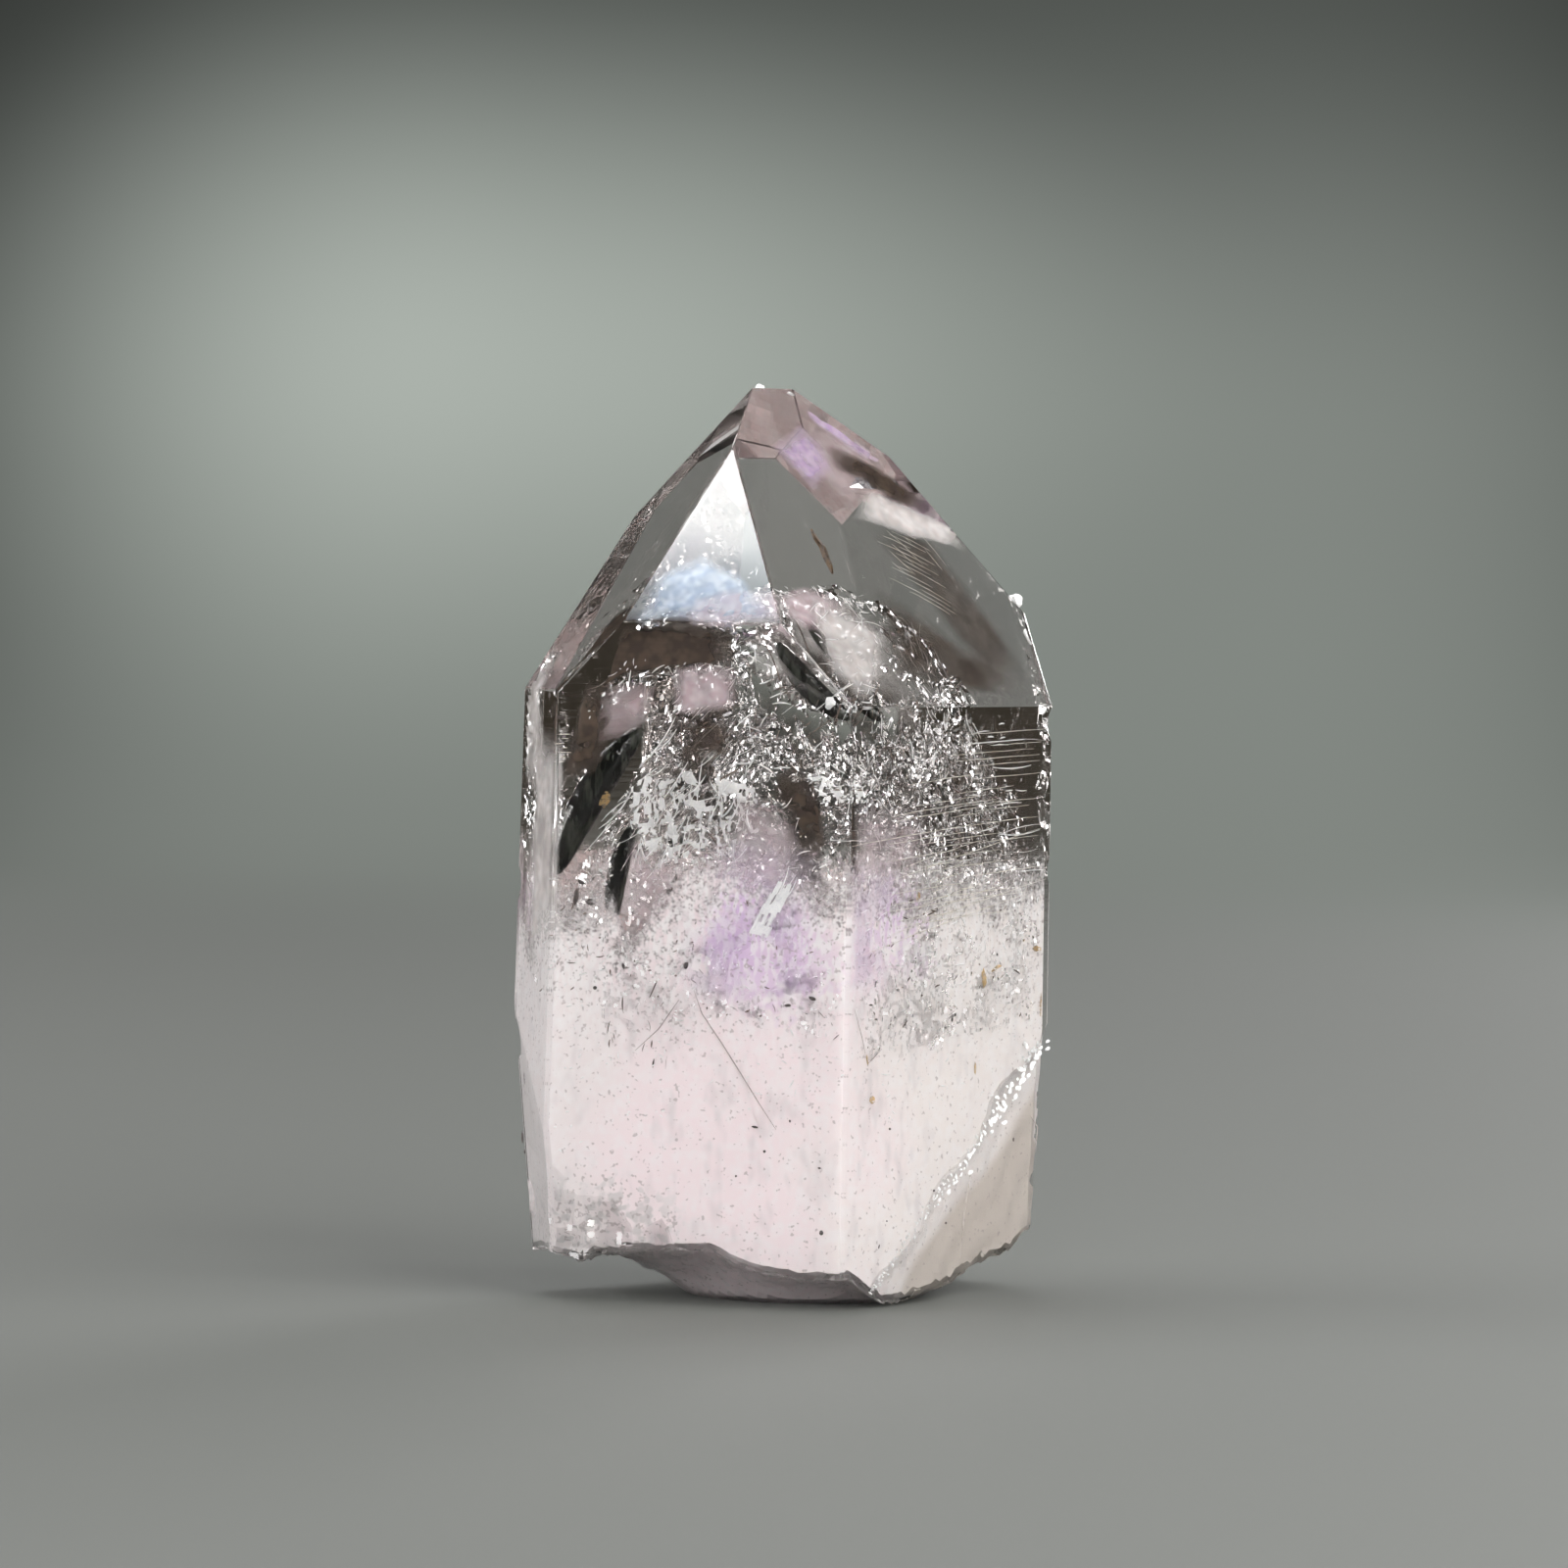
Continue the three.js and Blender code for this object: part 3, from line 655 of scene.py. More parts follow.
# Bundles of fine hollow threads: the two photo pixels that the first and the last thread run between, how many
# there are, how far they bend and how deep they lie
PALE_BUNDLES = [
    {"first": [(884, 512), (960, 548)], "last": [(900, 590), (990, 640)], "count": 19, "bend": 0.25, "depth": 1.6},
    {"first": [(885, 555), (950, 612)], "last": [(915, 520), (975, 590)], "count": 7, "bend": 0.4, "depth": 2.5},
    {"first": [(872, 812), (1066, 780)], "last": [(880, 952), (1068, 925)], "count": 26, "bend": 0.12, "depth": 0.3},
    {"first": [(872, 905), (1066, 835)], "last": [(880, 975), (1068, 905)], "count": 9, "bend": 0.12, "depth": 0.3},
    {"first": [(960, 752), (1100, 742)], "last": [(965, 905), (1100, 885)], "count": 24, "bend": 0.04, "depth": 0.3},
    {"first": [(565, 750), (584, 749)], "last": [(565, 778), (581, 777)], "count": 7, "bend": 0.02, "depth": 0.6},
]
BUNDLES = [
    {"first": [(900, 612), (1012, 800)], "last": [(878, 640), (985, 800)], "count": 9, "bend": -0.9, "depth": 7},
    {"first": [(612, 884), (690, 760)], "last": [(650, 900), (745, 790)], "count": 11, "bend": 0.5, "depth": 4},
    {"first": [(655, 600), (782, 420)], "last": [(600, 655), (700, 500)], "count": 10, "bend": 0.1, "depth": 1.2},
    {"first": [(546, 670), (541, 960)], "last": [(570, 670), (568, 980)], "count": 8, "bend": 0.05, "depth": 0.4},
]
THREAD_POINTS = 9

# Short bent strokes strewn between a top and a foot line of photo pixels: how steeply they rise and how much that
# differs, in degrees, how long they are in pixels, and how deep they lie at the top and at the foot
WHITE_STROKES = [
    {"top": [(612, 770), (665, 712), (750, 700)], "foot": [(606, 870), (650, 860), (735, 790)],
     "rise": 50, "spread": 9, "length": (6, 60), "depths": (5, 3), "count": 70},
    {"top": [(655, 800), (700, 785), (770, 795)], "foot": [(650, 880), (700, 888), (765, 872)],
     "rise": 68, "spread": 26, "length": (4, 44), "depths": (2.5, 2), "count": 110},
    {"top": [(795, 600), (850, 597), (905, 617), (950, 655)], "foot": [(800, 615), (850, 617), (890, 640), (930, 680)],
     "rise": -32, "spread": 16, "length": (5, 30), "depths": (5, 5), "count": 50},
    {"top": [(925, 640), (955, 660), (985, 715), (1008, 780), (1018, 850)],
     "foot": [(905, 660), (935, 690), (965, 745), (990, 800), (1002, 860)],
     "rise": -62, "spread": 10, "length": (5, 44), "depths": (5, 5), "count": 60},
    {"top": [(872, 722), (930, 725), (1000, 745)], "foot": [(872, 860), (940, 865), (1010, 865)],
     "rise": 84, "spread": 18, "length": (3, 22), "depths": (3, 2.5), "count": 80},
    {"top": [(825, 612), (862, 622), (900, 655)], "foot": [(845, 690), (870, 722), (892, 722)],
     "rise": -20, "spread": 60, "length": (2, 18), "depths": (1.2, 1.2), "count": 60},
    {"top": [(760, 650), (800, 690), (868, 700)], "foot": [(755, 790), (800, 800), (868, 800)],
     "rise": 40, "spread": 60, "length": (3, 26), "depths": (4, 4), "count": 60},
    {"top": [(550, 885), (640, 890), (740, 890), (860, 880)], "foot": [(548, 990), (640, 1000), (740, 995), (860, 985)],
     "rise": 40, "spread": 50, "length": (2, 10), "depths": (1.0, 0.3), "count": 260},
    {"top": [(548, 960), (700, 970), (860, 960)], "foot": [(560, 1180), (700, 1130), (860, 1150)],
     "rise": 50, "spread": 50, "length": (2, 9), "depths": (0.3, 0.2), "count": 160},
    {"top": [(880, 960), (1060, 960)], "foot": [(880, 1150), (1030, 1120)],
     "rise": 60, "spread": 40, "length": (2, 9), "depths": (0.3, 0.2), "count": 110},
    {"top": [(875, 850), (960, 850), (1062, 860)], "foot": [(875, 1010), (960, 1010), (1062, 1000)],
     "rise": 60, "spread": 40, "length": (2, 12), "depths": (0.6, 0.25), "count": 200},
    {"top": [(668, 585), (715, 565), (775, 575)], "foot": [(645, 625), (715, 632), (792, 634)],
     "rise": 40, "spread": 50, "length": (2, 9), "depths": (1.0, 0.7), "count": 60},
    {"top": [(600, 702), (650, 668), (700, 676), (748, 676)], "foot": [(600, 740), (650, 705), (700, 698), (748, 695)],
     "rise": 40, "spread": 35, "length": (2, 20), "depths": (3, 3), "count": 50},
    {"top": [(795, 790), (870, 790)], "foot": [(795, 890), (870, 930)],
     "rise": 35, "spread": 35, "length": (2, 20), "depths": (3, 3), "count": 50},
    # A painted glint: bright white strokes where a flake throws the light back
    {"top": [(792, 900), (806, 904)], "foot": [(766, 950), (784, 955)],
     "rise": 60, "spread": 9, "length": (14, 50), "depths": (0.3, 0.3), "count": 34},
    {"top": [(985, 735), (1062, 735)], "foot": [(985, 900), (1062, 890)],
     "rise": 6, "spread": 4, "length": (6, 60), "depths": (0.4, 0.3), "count": 26},
]
DARK_STROKES = [
    {"top": [(650, 690), (760, 660), (868, 660)], "foot": [(650, 880), (760, 880), (868, 880)],
     "rise": 48, "spread": 25, "length": (8, 50), "depths": (5, 3), "count": 60},
    {"top": [(872, 660), (950, 700), (1005, 790)], "foot": [(872, 860), (950, 870), (1010, 880)],
     "rise": 80, "spread": 25, "length": (6, 30), "depths": (3, 2.5), "count": 40},
    {"top": [(550, 900), (700, 900), (860, 890)], "foot": [(548, 1020), (700, 1030), (860, 1070)],
     "rise": 50, "spread": 50, "length": (2, 9), "depths": (0.5, 0.2), "count": 80},
    {"top": [(620, 1010), (700, 990)], "foot": [(600, 1090), (680, 1090)],
     "rise": 85, "spread": 12, "length": (6, 26), "depths": (0.3, 0.25), "count": 12},
    {"top": [(880, 900), (960, 900), (1062, 900)], "foot": [(880, 1080), (960, 1060), (1056, 1040)],
     "rise": 70, "spread": 40, "length": (2, 9), "depths": (0.4, 0.2), "count": 80},
]
STROKE_POINTS = 6


def bundle_lines(bundle):
    """The threads of a bundle, each of its own length, as lines of points."""
    lines = []
    for index in range(bundle["count"]):
        way = index / (bundle["count"] - 1)
        start, end = (Vector(a).lerp(Vector(b), way) for a, b in zip(bundle["first"], bundle["last"]))
        luck = noise.noise_vector(Vector((index * 3.7, start.x, 0.5)))
        low, high = 0.28 + 0.5 * luck.x, 0.72 + 0.5 * luck.y
        line = []
        for step in range(THREAD_POINTS):
            along = low + (high - low) * step / (THREAD_POINTS - 1)
            pixel = start.lerp(end, along)
            spot = seen_inside(pixel, bundle["depth"] + 0.6 * luck.z)
            spot.z += bundle["bend"] * math.sin(along * math.pi) + 0.05 * noise.noise(spot / 0.8)
            line.append(spot)
        if all((spot - on).dot(normal) < -FILM_MARGIN for spot in line for on, normal in flat_faces()):
            lines.append(line)
    return lines


def stroke_lines(strokes, seed):
    """The strokes of one stretch that lie inside the crystal and off the dark views, as lines of points."""
    luck = random.Random(seed)
    top, foot = ([Vector(pixel).to_3d() for pixel in strokes[edge]] for edge in ("top", "foot"))
    lines = []
    for _ in range(strokes["count"]):
        across, up = luck.random(), luck.random()
        middle = on_line(foot, across).lerp(on_line(top, across), up).to_2d()
        turn = math.radians(luck.gauss(strokes["rise"], strokes["spread"]))
        low, high = strokes["length"]
        length = low + (high - low) * luck.random() ** 2.5
        bend = length * luck.uniform(-0.1, 0.1)
        along, aside = Vector((math.cos(turn), -math.sin(turn))), Vector((math.sin(turn), math.cos(turn)))
        depth = strokes["depths"][1] + (strokes["depths"][0] - strokes["depths"][1]) * up
        dip = luck.uniform(-0.35, 0.35) * length / PIXELS_PER_MM
        line = []
        for step in range(STROKE_POINTS):
            way = 2 * step / (STROKE_POINTS - 1) - 1
            pixel = middle + along * (way * length / 2) + aside * (bend * (1 - way * way))
            line.append(seen_inside(pixel, max(FILM_MARGIN * 2, depth + dip * way)))
        clear = all((spot - on).dot(normal) < -FILM_MARGIN for spot in line for on, normal in flat_faces())
        if clear and not in_dark_view(middle):
            lines.append(line)
    return lines


def tubes(lines, radius, vary=0.0):
    """Fine tubes along lines of points, thinner towards their ends and closed, of more or less varied width."""
    curve = bpy.data.curves.new("tubes", "CURVE")
    curve.dimensions = "3D"
    curve.bevel_depth = radius
    curve.bevel_resolution = 0
    curve.use_fill_caps = True
    for number, line in enumerate(lines):
        width = 1 + vary * (number * 0.618 % 1 - 0.5)
        spline = curve.splines.new("POLY")
        spline.points.add(len(line) - 1)
        for index, (point, spot) in enumerate(zip(spline.points, line)):
            point.co = (*spot, 1)
            point.radius = width * (0.35 + 0.65 * math.sin(math.pi * index / (len(line) - 1)))
    holder = to_object(curve, "tubes")
    graph = bpy.context.evaluated_depsgraph_get()
    mesh = bpy.data.meshes.new_from_object(holder.evaluated_get(graph))
    bpy.data.objects.remove(holder)
    bpy.data.curves.remove(curve)
    bm = bmesh.new()
    bm.from_mesh(mesh)
    bpy.data.meshes.remove(mesh)
    bmesh.ops.remove_doubles(bm, verts=bm.verts, dist=1e-4)
    bmesh.ops.recalc_face_normals(bm, faces=bm.faces)
    return bm


def hollow_out(mesh, hollows):
    """Adds closed shapes to the mesh as hollows with the second material: their faces point into them."""
    bm = bmesh.new()
    bm.from_mesh(mesh)
    for hollow in hollows:
        bmesh.ops.reverse_faces(hollow, faces=hollow.faces[:])
        for face in hollow.faces:
            face.material_index = 1
        spare = to_mesh(hollow, "hollow")
        bm.from_mesh(spare)
        bpy.data.meshes.remove(spare)
    bm.to_mesh(mesh)
    bm.free()


# Small things in the quartz, each given by its photo pixel, depth, size in millimetres and turn in degrees

DARK_GRAINS = [
    ((751, 1200), 0.15, (0.07, 0.05, 0.07), 0), ((780, 1175), 0.15, (0.09, 0.05, 0.09), 0),
    ((908, 1152), 0.15, (0.09, 0.05, 0.08), 0), ((966, 1248), 0.15, (0.07, 0.04, 0.08), 0),
    ((897, 1272), 0.15, (0.06, 0.04, 0.14), 15), ((1035, 1163), 0.15, (0.05, 0.04, 0.14), 0),
    ((953, 1215), 0.15, (0.09, 0.05, 0.07), 0), ((905, 1246), 0.15, (0.06, 0.05, 0.06), 0),
    ((806, 1144), 0.15, (0.06, 0.05, 0.08), 0), ((573, 732), 0.5, (0.17, 0.12, 0.14), 0),
    ((588, 915), 0.5, (0.16, 0.12, 0.55), 8), ((593, 900), 0.5, (0.25, 0.1, 0.12), 30),
    ((603, 920), 0.6, (0.30, 0.1, 0.22), 0), ((688, 899), 0.8, (0.14, 0.1, 0.42), 20),
    ((683, 910), 0.8, (0.20, 0.1, 0.16), 40), ((804, 1026), 0.25, (0.20, 0.05, 0.09), -5),
    ((829, 1019), 0.25, (0.24, 0.05, 0.11), 18), ((836, 1192), 0.25, (0.10, 0.04, 0.06), 15),
    ((770, 1150), 0.25, (0.20, 0.04, 0.07), 10), ((535, 1100), 0.2, (0.10, 0.15, 0.45), 14),
    ((531, 1160), 0.2, (0.08, 0.15, 0.40), 0), ((534, 1175), 0.2, (0.10, 0.12, 0.14), 0),
    ((838, 1258), 0.25, (0.13, 0.05, 0.15), 0), ((700, 985), 0.4, (0.14, 0.08, 0.22), 12),
    ((636, 986), 0.4, (0.08, 0.06, 0.18), -14), ((607, 1008), 0.3, (0.12, 0.05, 0.12), 40),
]
STAINS = [
    ((1004, 998), 0.14, (0.20, 0.04, 0.60), -8), ((1016, 988), 0.14, (0.45, 0.04, 0.12), -28),
    ((1058, 968), 0.14, (0.32, 0.04, 0.16), 0), ((890, 1122), 0.14, (0.22, 0.04, 0.22), 0),
    ((1062, 1025), 0.14, (0.07, 0.04, 0.7), 0), ((995, 1090), 0.14, (0.08, 0.04, 0.4), 0),
    ((885, 1082), 0.14, (0.08, 0.04, 0.40), -12), ((937, 915), 0.4, (0.18, 0.05, 0.3), 20),
    ((617, 815), 5.5, (0.32, 0.08, 0.5), 20), ((583, 853), 5.5, (0.2, 0.08, 0.2), 0),
]
# Bruised white spots and blobs on and in the crystal; the grains at (617, 902), (777, 394) and (807, 402) are painted
# glints, white paint where the lower pocket and the tip throw the light back
BRUISES_AND_PAINTED_GLINTS = [
    ((1037, 612), 0.1, (0.42, 0.35, 0.42), 0), ((1048, 650), 0.15, (0.14, 0.1, 0.55), -14),
    ((847, 717), 1.2, (0.30, 0.15, 0.36), 20), ((617, 902), 1.0, (0.16, 0.1, 0.10), 0),
    ((777, 394), 0.3, (0.28, 0.12, 0.22), 0), ((807, 402), 0.3, (0.30, 0.12, 0.14), 0),
]
CRACKS = [
    [(708, 1010), (716, 1034), (735, 1062), (755, 1094), (772, 1122), (792, 1153)],
    [(872, 1030), (880, 1060), (885, 1086)], [(900, 1070), (891, 1080), (885, 1086)],
    [(693, 1020), (672, 1050), (648, 1072)], [(1052, 1138), (1060, 1150), (1058, 1176)],
    [(992, 1196), (985, 1240), (981, 1286)],
]
ROD = [(828, 540), (832, 549), (839, 558), (843, 569), (847, 578), (849, 585)]


BREAK_RIDGE = [(1060, 1066), (1050, 1082), (1030, 1120), (1008, 1150), (985, 1190), (952, 1226), (925, 1268),
               (905, 1298), (886, 1322)]


def grain_block(grains, roughness):
    """Small rough grains at their places in the crystal, as one mesh."""
    bm = bmesh.new()
    for pixel, depth, size, turn in grains:
        spot = seen_inside(pixel, depth)
        made = bmesh.ops.create_icosphere(bm, subdivisions=2, radius=1)
        for vert in made["verts"]:
            vert.co *= 1 + roughness * noise.fractal(vert.co * 1.6 + spot, 0.8, 2.0, 4)
        place = Matrix.Translation(spot) @ Matrix.Rotation(math.radians(turn), 4, "Y")
        bmesh.ops.transform(bm, matrix=place @ Matrix.Diagonal((*size, 1)), verts=made["verts"])
    return bm


def crumbs_along(pixels, count, spread):
    """Small crushed grains strewn along a line of photo pixels."""
    crumbs = []
    for index in range(count):
        luck = noise.noise_vector(Vector((index * 5.3, pixels[0][0], 2.5)))
        spot = on_line([Vector(pixel).to_3d() for pixel in pixels], min(1, max(0, (index + luck.x) / count)))
        wide = 1.9 - 1.4 * index / count
        size = (0.035 + 0.09 * abs(luck.y)) * wide
        pixel = (spot.x + spread * wide * luck.z, spot.y + spread * wide * luck.y)
        crumbs.append((pixel, 0.12, (size, 0.08, size * (1.6 + luck.x)), 90 * luck.z))
    return crumbs


def smooth_line(pixels, depth, steps=4):
    """A line of points behind photo pixels, with more points between them."""
    line = []
    for start, end in zip(pixels, pixels[1:]):
        for step in range(steps):
            line.append(seen_inside(Vector(start).lerp(Vector(end), step / steps), depth))
    line.append(seen_inside(pixels[-1], depth))
    return line


# Materials

class Wire:
    """The output of a node. Python's operators on it add Math nodes."""

    def __init__(self, paint, socket):
        self.paint = paint
        self.socket = socket

    def maths(self, operation, *values):
        return self.paint.node("ShaderNodeMath", {"operation": operation}, dict(enumerate(values)))

    def __add__(self, other):
        return self.maths("ADD", self, other)

    def __radd__(self, other):
        return self.maths("ADD", other, self)

    def __sub__(self, other):
        return self.maths("SUBTRACT", self, other)

    def __rsub__(self, other):
        return self.maths("SUBTRACT", other, self)

    def __mul__(self, other):
        return self.maths("MULTIPLY", self, other)

    def __rmul__(self, other):
        return self.maths("MULTIPLY", other, self)

    def __truediv__(self, other):
        return self.maths("DIVIDE", self, other)

    def __pow__(self, other):
        return self.maths("POWER", self, other)

    def least(self, other):
        return self.maths("MINIMUM", self, other)

    def most(self, other):
        return self.maths("MAXIMUM", self, other)


class Paint:
    """A material, and the one method that adds a node of any type to it."""

    def __init__(self, name):
        self.material = bpy.data.materials.new(name)
        self.material.use_nodes = True
        self.tree = self.material.node_tree
        self.tree.nodes.clear()

    def node(self, kind, settings=None, sockets=None, output=0):
        made = self.tree.nodes.new(kind)
        for name, value in (settings or {}).items():
            if name == "stops":
                self.set_stops(made.color_ramp, value)
            else:
                setattr(made, name, value)
        for name, value in (sockets or {}).items():
            if isinstance(value, Wire):
                self.tree.links.new(value.socket, made.inputs[name])
            else:
                made.inputs[name].default_value = value
        return None if output is None else Wire(self, made.outputs[output])

    @staticmethod
    def set_stops(ramp, stops):
        while len(ramp.elements) < len(stops):
            ramp.elements.new(1)
        for element, (position, colour) in zip(ramp.elements, stops):
            element.position = position
            element.color = colour

    def place(self):
        """The point on the piece, in millimetres."""
        spot = self.node("ShaderNodeTexCoord", output="Object")
        return self.node("ShaderNodeVectorMath", {"operation": "SCALE"}, {0: spot, "Scale": 1 / MM})

    def axes(self, spot):
        split = self.node("ShaderNodeSeparateXYZ", sockets={0: spot})
        node = split.socket.node
        return [Wire(self, node.outputs[axis]) for axis in range(3)]

    def grain(self, spot, size, detail=3, roughness=0.55, distortion=0.0):
        """Noise about 0.5 that changes over a size in millimetres."""
        return self.node("ShaderNodeTexNoise", sockets={
            "Vector": spot, "Scale": 1 / size, "Detail": detail, "Roughness": roughness, "Distortion": distortion})

    def stretched(self, spot, scale, turn=(0, 0, 0)):
        return self.node("ShaderNodeMapping", sockets={"Vector": spot, "Scale": scale, "Rotation": turn})

    def ease(self, value, low, high, bottom=0.0, top=1.0):
        return self.node("ShaderNodeMapRange", {"interpolation_type": "SMOOTHSTEP"}, {
            "Value": value, "From Min": low, "From Max": high, "To Min": bottom, "To Max": top})

    def blend(self, factor, first, second):
        mixed = self.node("ShaderNodeMix", {"data_type": "RGBA"}, {"Factor": factor})
        node = mixed.socket.node
        for socket, value in zip((6, 7), (first, second)):
            if isinstance(value, Wire):
                self.tree.links.new(value.socket, node.inputs[socket])
            else:
                node.inputs[socket].default_value = (*value[:3], 1)
        return Wire(self, node.outputs[2])

    def bump(self, height, strength, distance):
        """Relief of a height between 0 and 1, distance being its depth in millimetres."""
        return self.node("ShaderNodeBump", sockets={
            "Height": height, "Strength": strength, "Distance": distance * MM})

    def finish(self, surface, volume=None):
        sockets = {"Surface": surface}
        if volume is not None:
            sockets["Volume"] = volume
        self.node("ShaderNodeOutputMaterial", sockets=sockets, output=None)
        return self.material


def clear_quartz_paint(look):
    paint = Paint("clear_quartz")
    spot = paint.place()
    steep = paint.axes(paint.node("ShaderNodeTexCoord", output="Normal"))[2]
    upright = paint.ease(steep * steep, 0.02, 0.12, 1.0, 0.0)
    lines = paint.grain(paint.stretched(spot, (0.1, 0.1, 2.6)), 1.0, 2, 0.6)
    ripple = paint.grain(spot, 3.2, 0)
    surface = paint.node("ShaderNodeBsdfPrincipled", sockets={
        "Base Color": (1, 1, 1, 1),
        "Transmission Weight": 1.0,
        "IOR": QUARTZ_IOR,
        "Roughness": 0.0,
        "Normal": paint.bump(lines * upright * 0.4 + ripple * 0.25, 0.2, look.ripple_depth / MM),
    })
    volume = paint.node("ShaderNodeVolumeAbsorption", sockets={
        "Color": (*look.tint, 1), "Density": look.tint_density})
    return paint.finish(surface, volume)


def hollow_film_paint():
    """The inside of the hollow films and threads, frosted in places."""
    paint = Paint("hollow_film")
    frost = paint.grain(paint.place(), 0.7, 0)
    surface = paint.node("ShaderNodeBsdfPrincipled", sockets={
        "Base Color": (1, 1, 1, 1), "Transmission Weight": 1.0, "IOR": QUARTZ_IOR,
        "Roughness": paint.ease(frost, 0.4, 0.7, 0.0, 0.12)})
    return paint.finish(surface)


def within(paint, axes, centre, radii):
    """From 1 in the middle of a long round zone to 0 at its rim, all in millimetres."""
    total = 0.0
    for axis, middle, radius in zip(axes, centre, radii):
        offset = (axis - middle) / radius
        total = offset * offset + total
    return paint.ease(total, 0.05, 1.0, 1.0, 0.0)


def milky_quartz_paint(look, name, lift, strength):
    """Cloudy quartz whose cover fades out upwards, at its own height at the left, in the middle and at the right."""
    paint = Paint(name)
    spot = paint.place()
    x, _, z = paint.axes(spot)
    tone = paint.grain(spot, 6, 0)
    mottle = paint.grain(spot, 0.8, 1, 0.8)
    billow = paint.grain(spot, 3.6, 1, 0.7)
    speckle = paint.grain(spot, 0.34, 1, 0.9)
    aside = x + (tone - 0.5) * 12
    right = paint.ease(aside, 1, 9)
    left = paint.ease(aside, -13, -4, 1.0, 0.0)
    colour = paint.blend(right, look.pink, look.cream)
    colour = paint.blend(left, colour, look.grey)
    colour = paint.blend(paint.ease(mottle, 0.35, 0.75, 0.0, 0.5), colour, (0.97, 0.955, 0.96))
    veins = paint.grain(paint.stretched(spot, (1, 1, 0.45)), 1.7, 2, 0.8)
    colour = paint.blend(paint.ease(veins, 0.50, 0.75, 0.0, 0.55), colour, look.shade)
    drift = (mottle + billow - 1.0) * 6
    zones = (x + drift, z - drift)
    violet = within(paint, zones, (-1.0, 21.8), (4.6, 4.2)).most(within(paint, zones, (6.8, 24.0), (1.7, 4.2)) * 0.8)
    colour = paint.blend(violet * paint.ease(billow, 0.3, 0.7, 0.35, 0.8), colour, look.violet)
    if lift is None:
        colour = paint.blend(paint.ease(z, 18, 22), colour, look.blush)
    smoky = paint.ease((x - 6.4) * 1.53 - z + (tone - 0.5) * 3, 0.2, 1.6)
    colour = paint.blend(smoky, colour, look.broken)
    rough = within(paint, (x, z), (-10.5, 5.0), (5.5, 3.6)) * 0.14
    colour = paint.blend(rough * 4 * paint.ease(mottle, 0.5, 0.62), colour, (0.50, 0.48, 0.47))
    busy = paint.ease(z, 12, 25)
    streaks = paint.grain(paint.stretched(spot, (1, 1, 0.4), (0, 0.4, 0)), 0.28, 0)
    colour = paint.blend(paint.ease(streaks, 0.40, 0.62, 0.0, 0.75) * busy, colour, (1.0, 0.985, 0.985))
    flecks = paint.ease(speckle + rough * 0.6 + busy * 0.08, 0.64, 0.74)
    colour = paint.blend(flecks * 0.6, colour, (0.42, 0.36, 0.36))
    sockets = {"Base Color": colour, "Roughness": paint.ease(mottle, 0.3, 0.7, 0.5, 0.7)}
    if lift is not None:
        rise = paint.ease(x, -9, 6, look.left_top / MM, look.right_top / MM) + violet * 2.0
        rise = rise + within(paint, (x, z), (-4.5, 25.5), (4.0, 4.5)) * 2.0
        clearing = within(paint, (x, z), (-9.1, 26.0), (1.3, 5.0)) * 4.5
        level = z + (billow - 0.5) * 6 + (speckle - 0.5) * 6 + clearing - rise
        sockets["Alpha"] = paint.ease(level, lift - look.fade / MM, lift, strength, 0.0)
    return paint.finish(paint.node("ShaderNodeBsdfPrincipled", sockets=sockets))


def grain_paint(name, dark, pale, size, roughness):
    """Two tones that change over a size in millimetres, with a grain in the gloss too."""
    paint = Paint(name)
    spot = paint.place()
    grain = paint.grain(spot, size, 4, 0.65)
    surface = paint.node("ShaderNodeBsdfPrincipled", sockets={
        "Base Color": paint.blend(paint.ease(grain, 0.35, 0.65), dark, pale),
        "Roughness": paint.ease(grain, 0.3, 0.7, roughness * 0.6, roughness),
        "Normal": paint.bump(grain, 0.5, size * 0.3)})
    return paint.finish(surface)


def cloud_paint(name, first, second, cover):
    """A thin cloud, its cover broken up by noise and fading towards the rim of its sheet."""
    paint = Paint(name)
    spot = paint.place()
    billow = paint.grain(spot, 2.2, 2, 0.75)
    fade = paint.node("ShaderNodeAttribute", {"attribute_name": "fade"}, output="Fac")
    surface = paint.node("ShaderNodeBsdfPrincipled", sockets={
        "Base Color": paint.blend(paint.ease(paint.grain(spot, 0.7, 1, 0.7), 0.35, 0.65), first, second),
        "Roughness": 0.7, "Alpha": fade * paint.ease(billow, 0.25, 0.75, 0.5 * cover, cover)})
    return paint.finish(surface)


def stain_paint():
    """Ochre iron stain, thicker and thinner in patches."""
    paint = Paint("iron_stain")
    spot = paint.place()
    grain = paint.grain(spot, 0.22, 4, 0.7)
    surface = paint.node("ShaderNodeBsdfPrincipled", sockets={
        "Base Color": paint.blend(paint.ease(grain, 0.35, 0.65), (0.72, 0.54, 0.28), (0.48, 0.31, 0.13)),
        "Roughness": 0.7, "Alpha": paint.ease(grain, 0.38, 0.56, 0.1, 0.75),
        "Normal": paint.bump(grain, 0.5, 0.06)})
    return paint.finish(surface)


def pocket_water_paint():
    paint = Paint("pocket_water")
    spot = paint.place()
    streak = paint.grain(paint.stretched(spot, (1.2, 1.2, 0.25), (0, 0.5, 0)), 0.8, 3)
    colour = paint.blend(paint.ease(streak, 0.45, 0.7), (0.004, 0.004, 0.003), (0.055, 0.06, 0.048))
    surface = paint.node("ShaderNodeBsdfPrincipled", sockets={
        "Base Color": colour, "Roughness": paint.ease(streak, 0.3, 0.7, 0.04, 0.2),
        "Normal": paint.bump(paint.grain(spot, 0.9, 2), 0.4, 0.15)})
    return paint.finish(surface)


# Settings

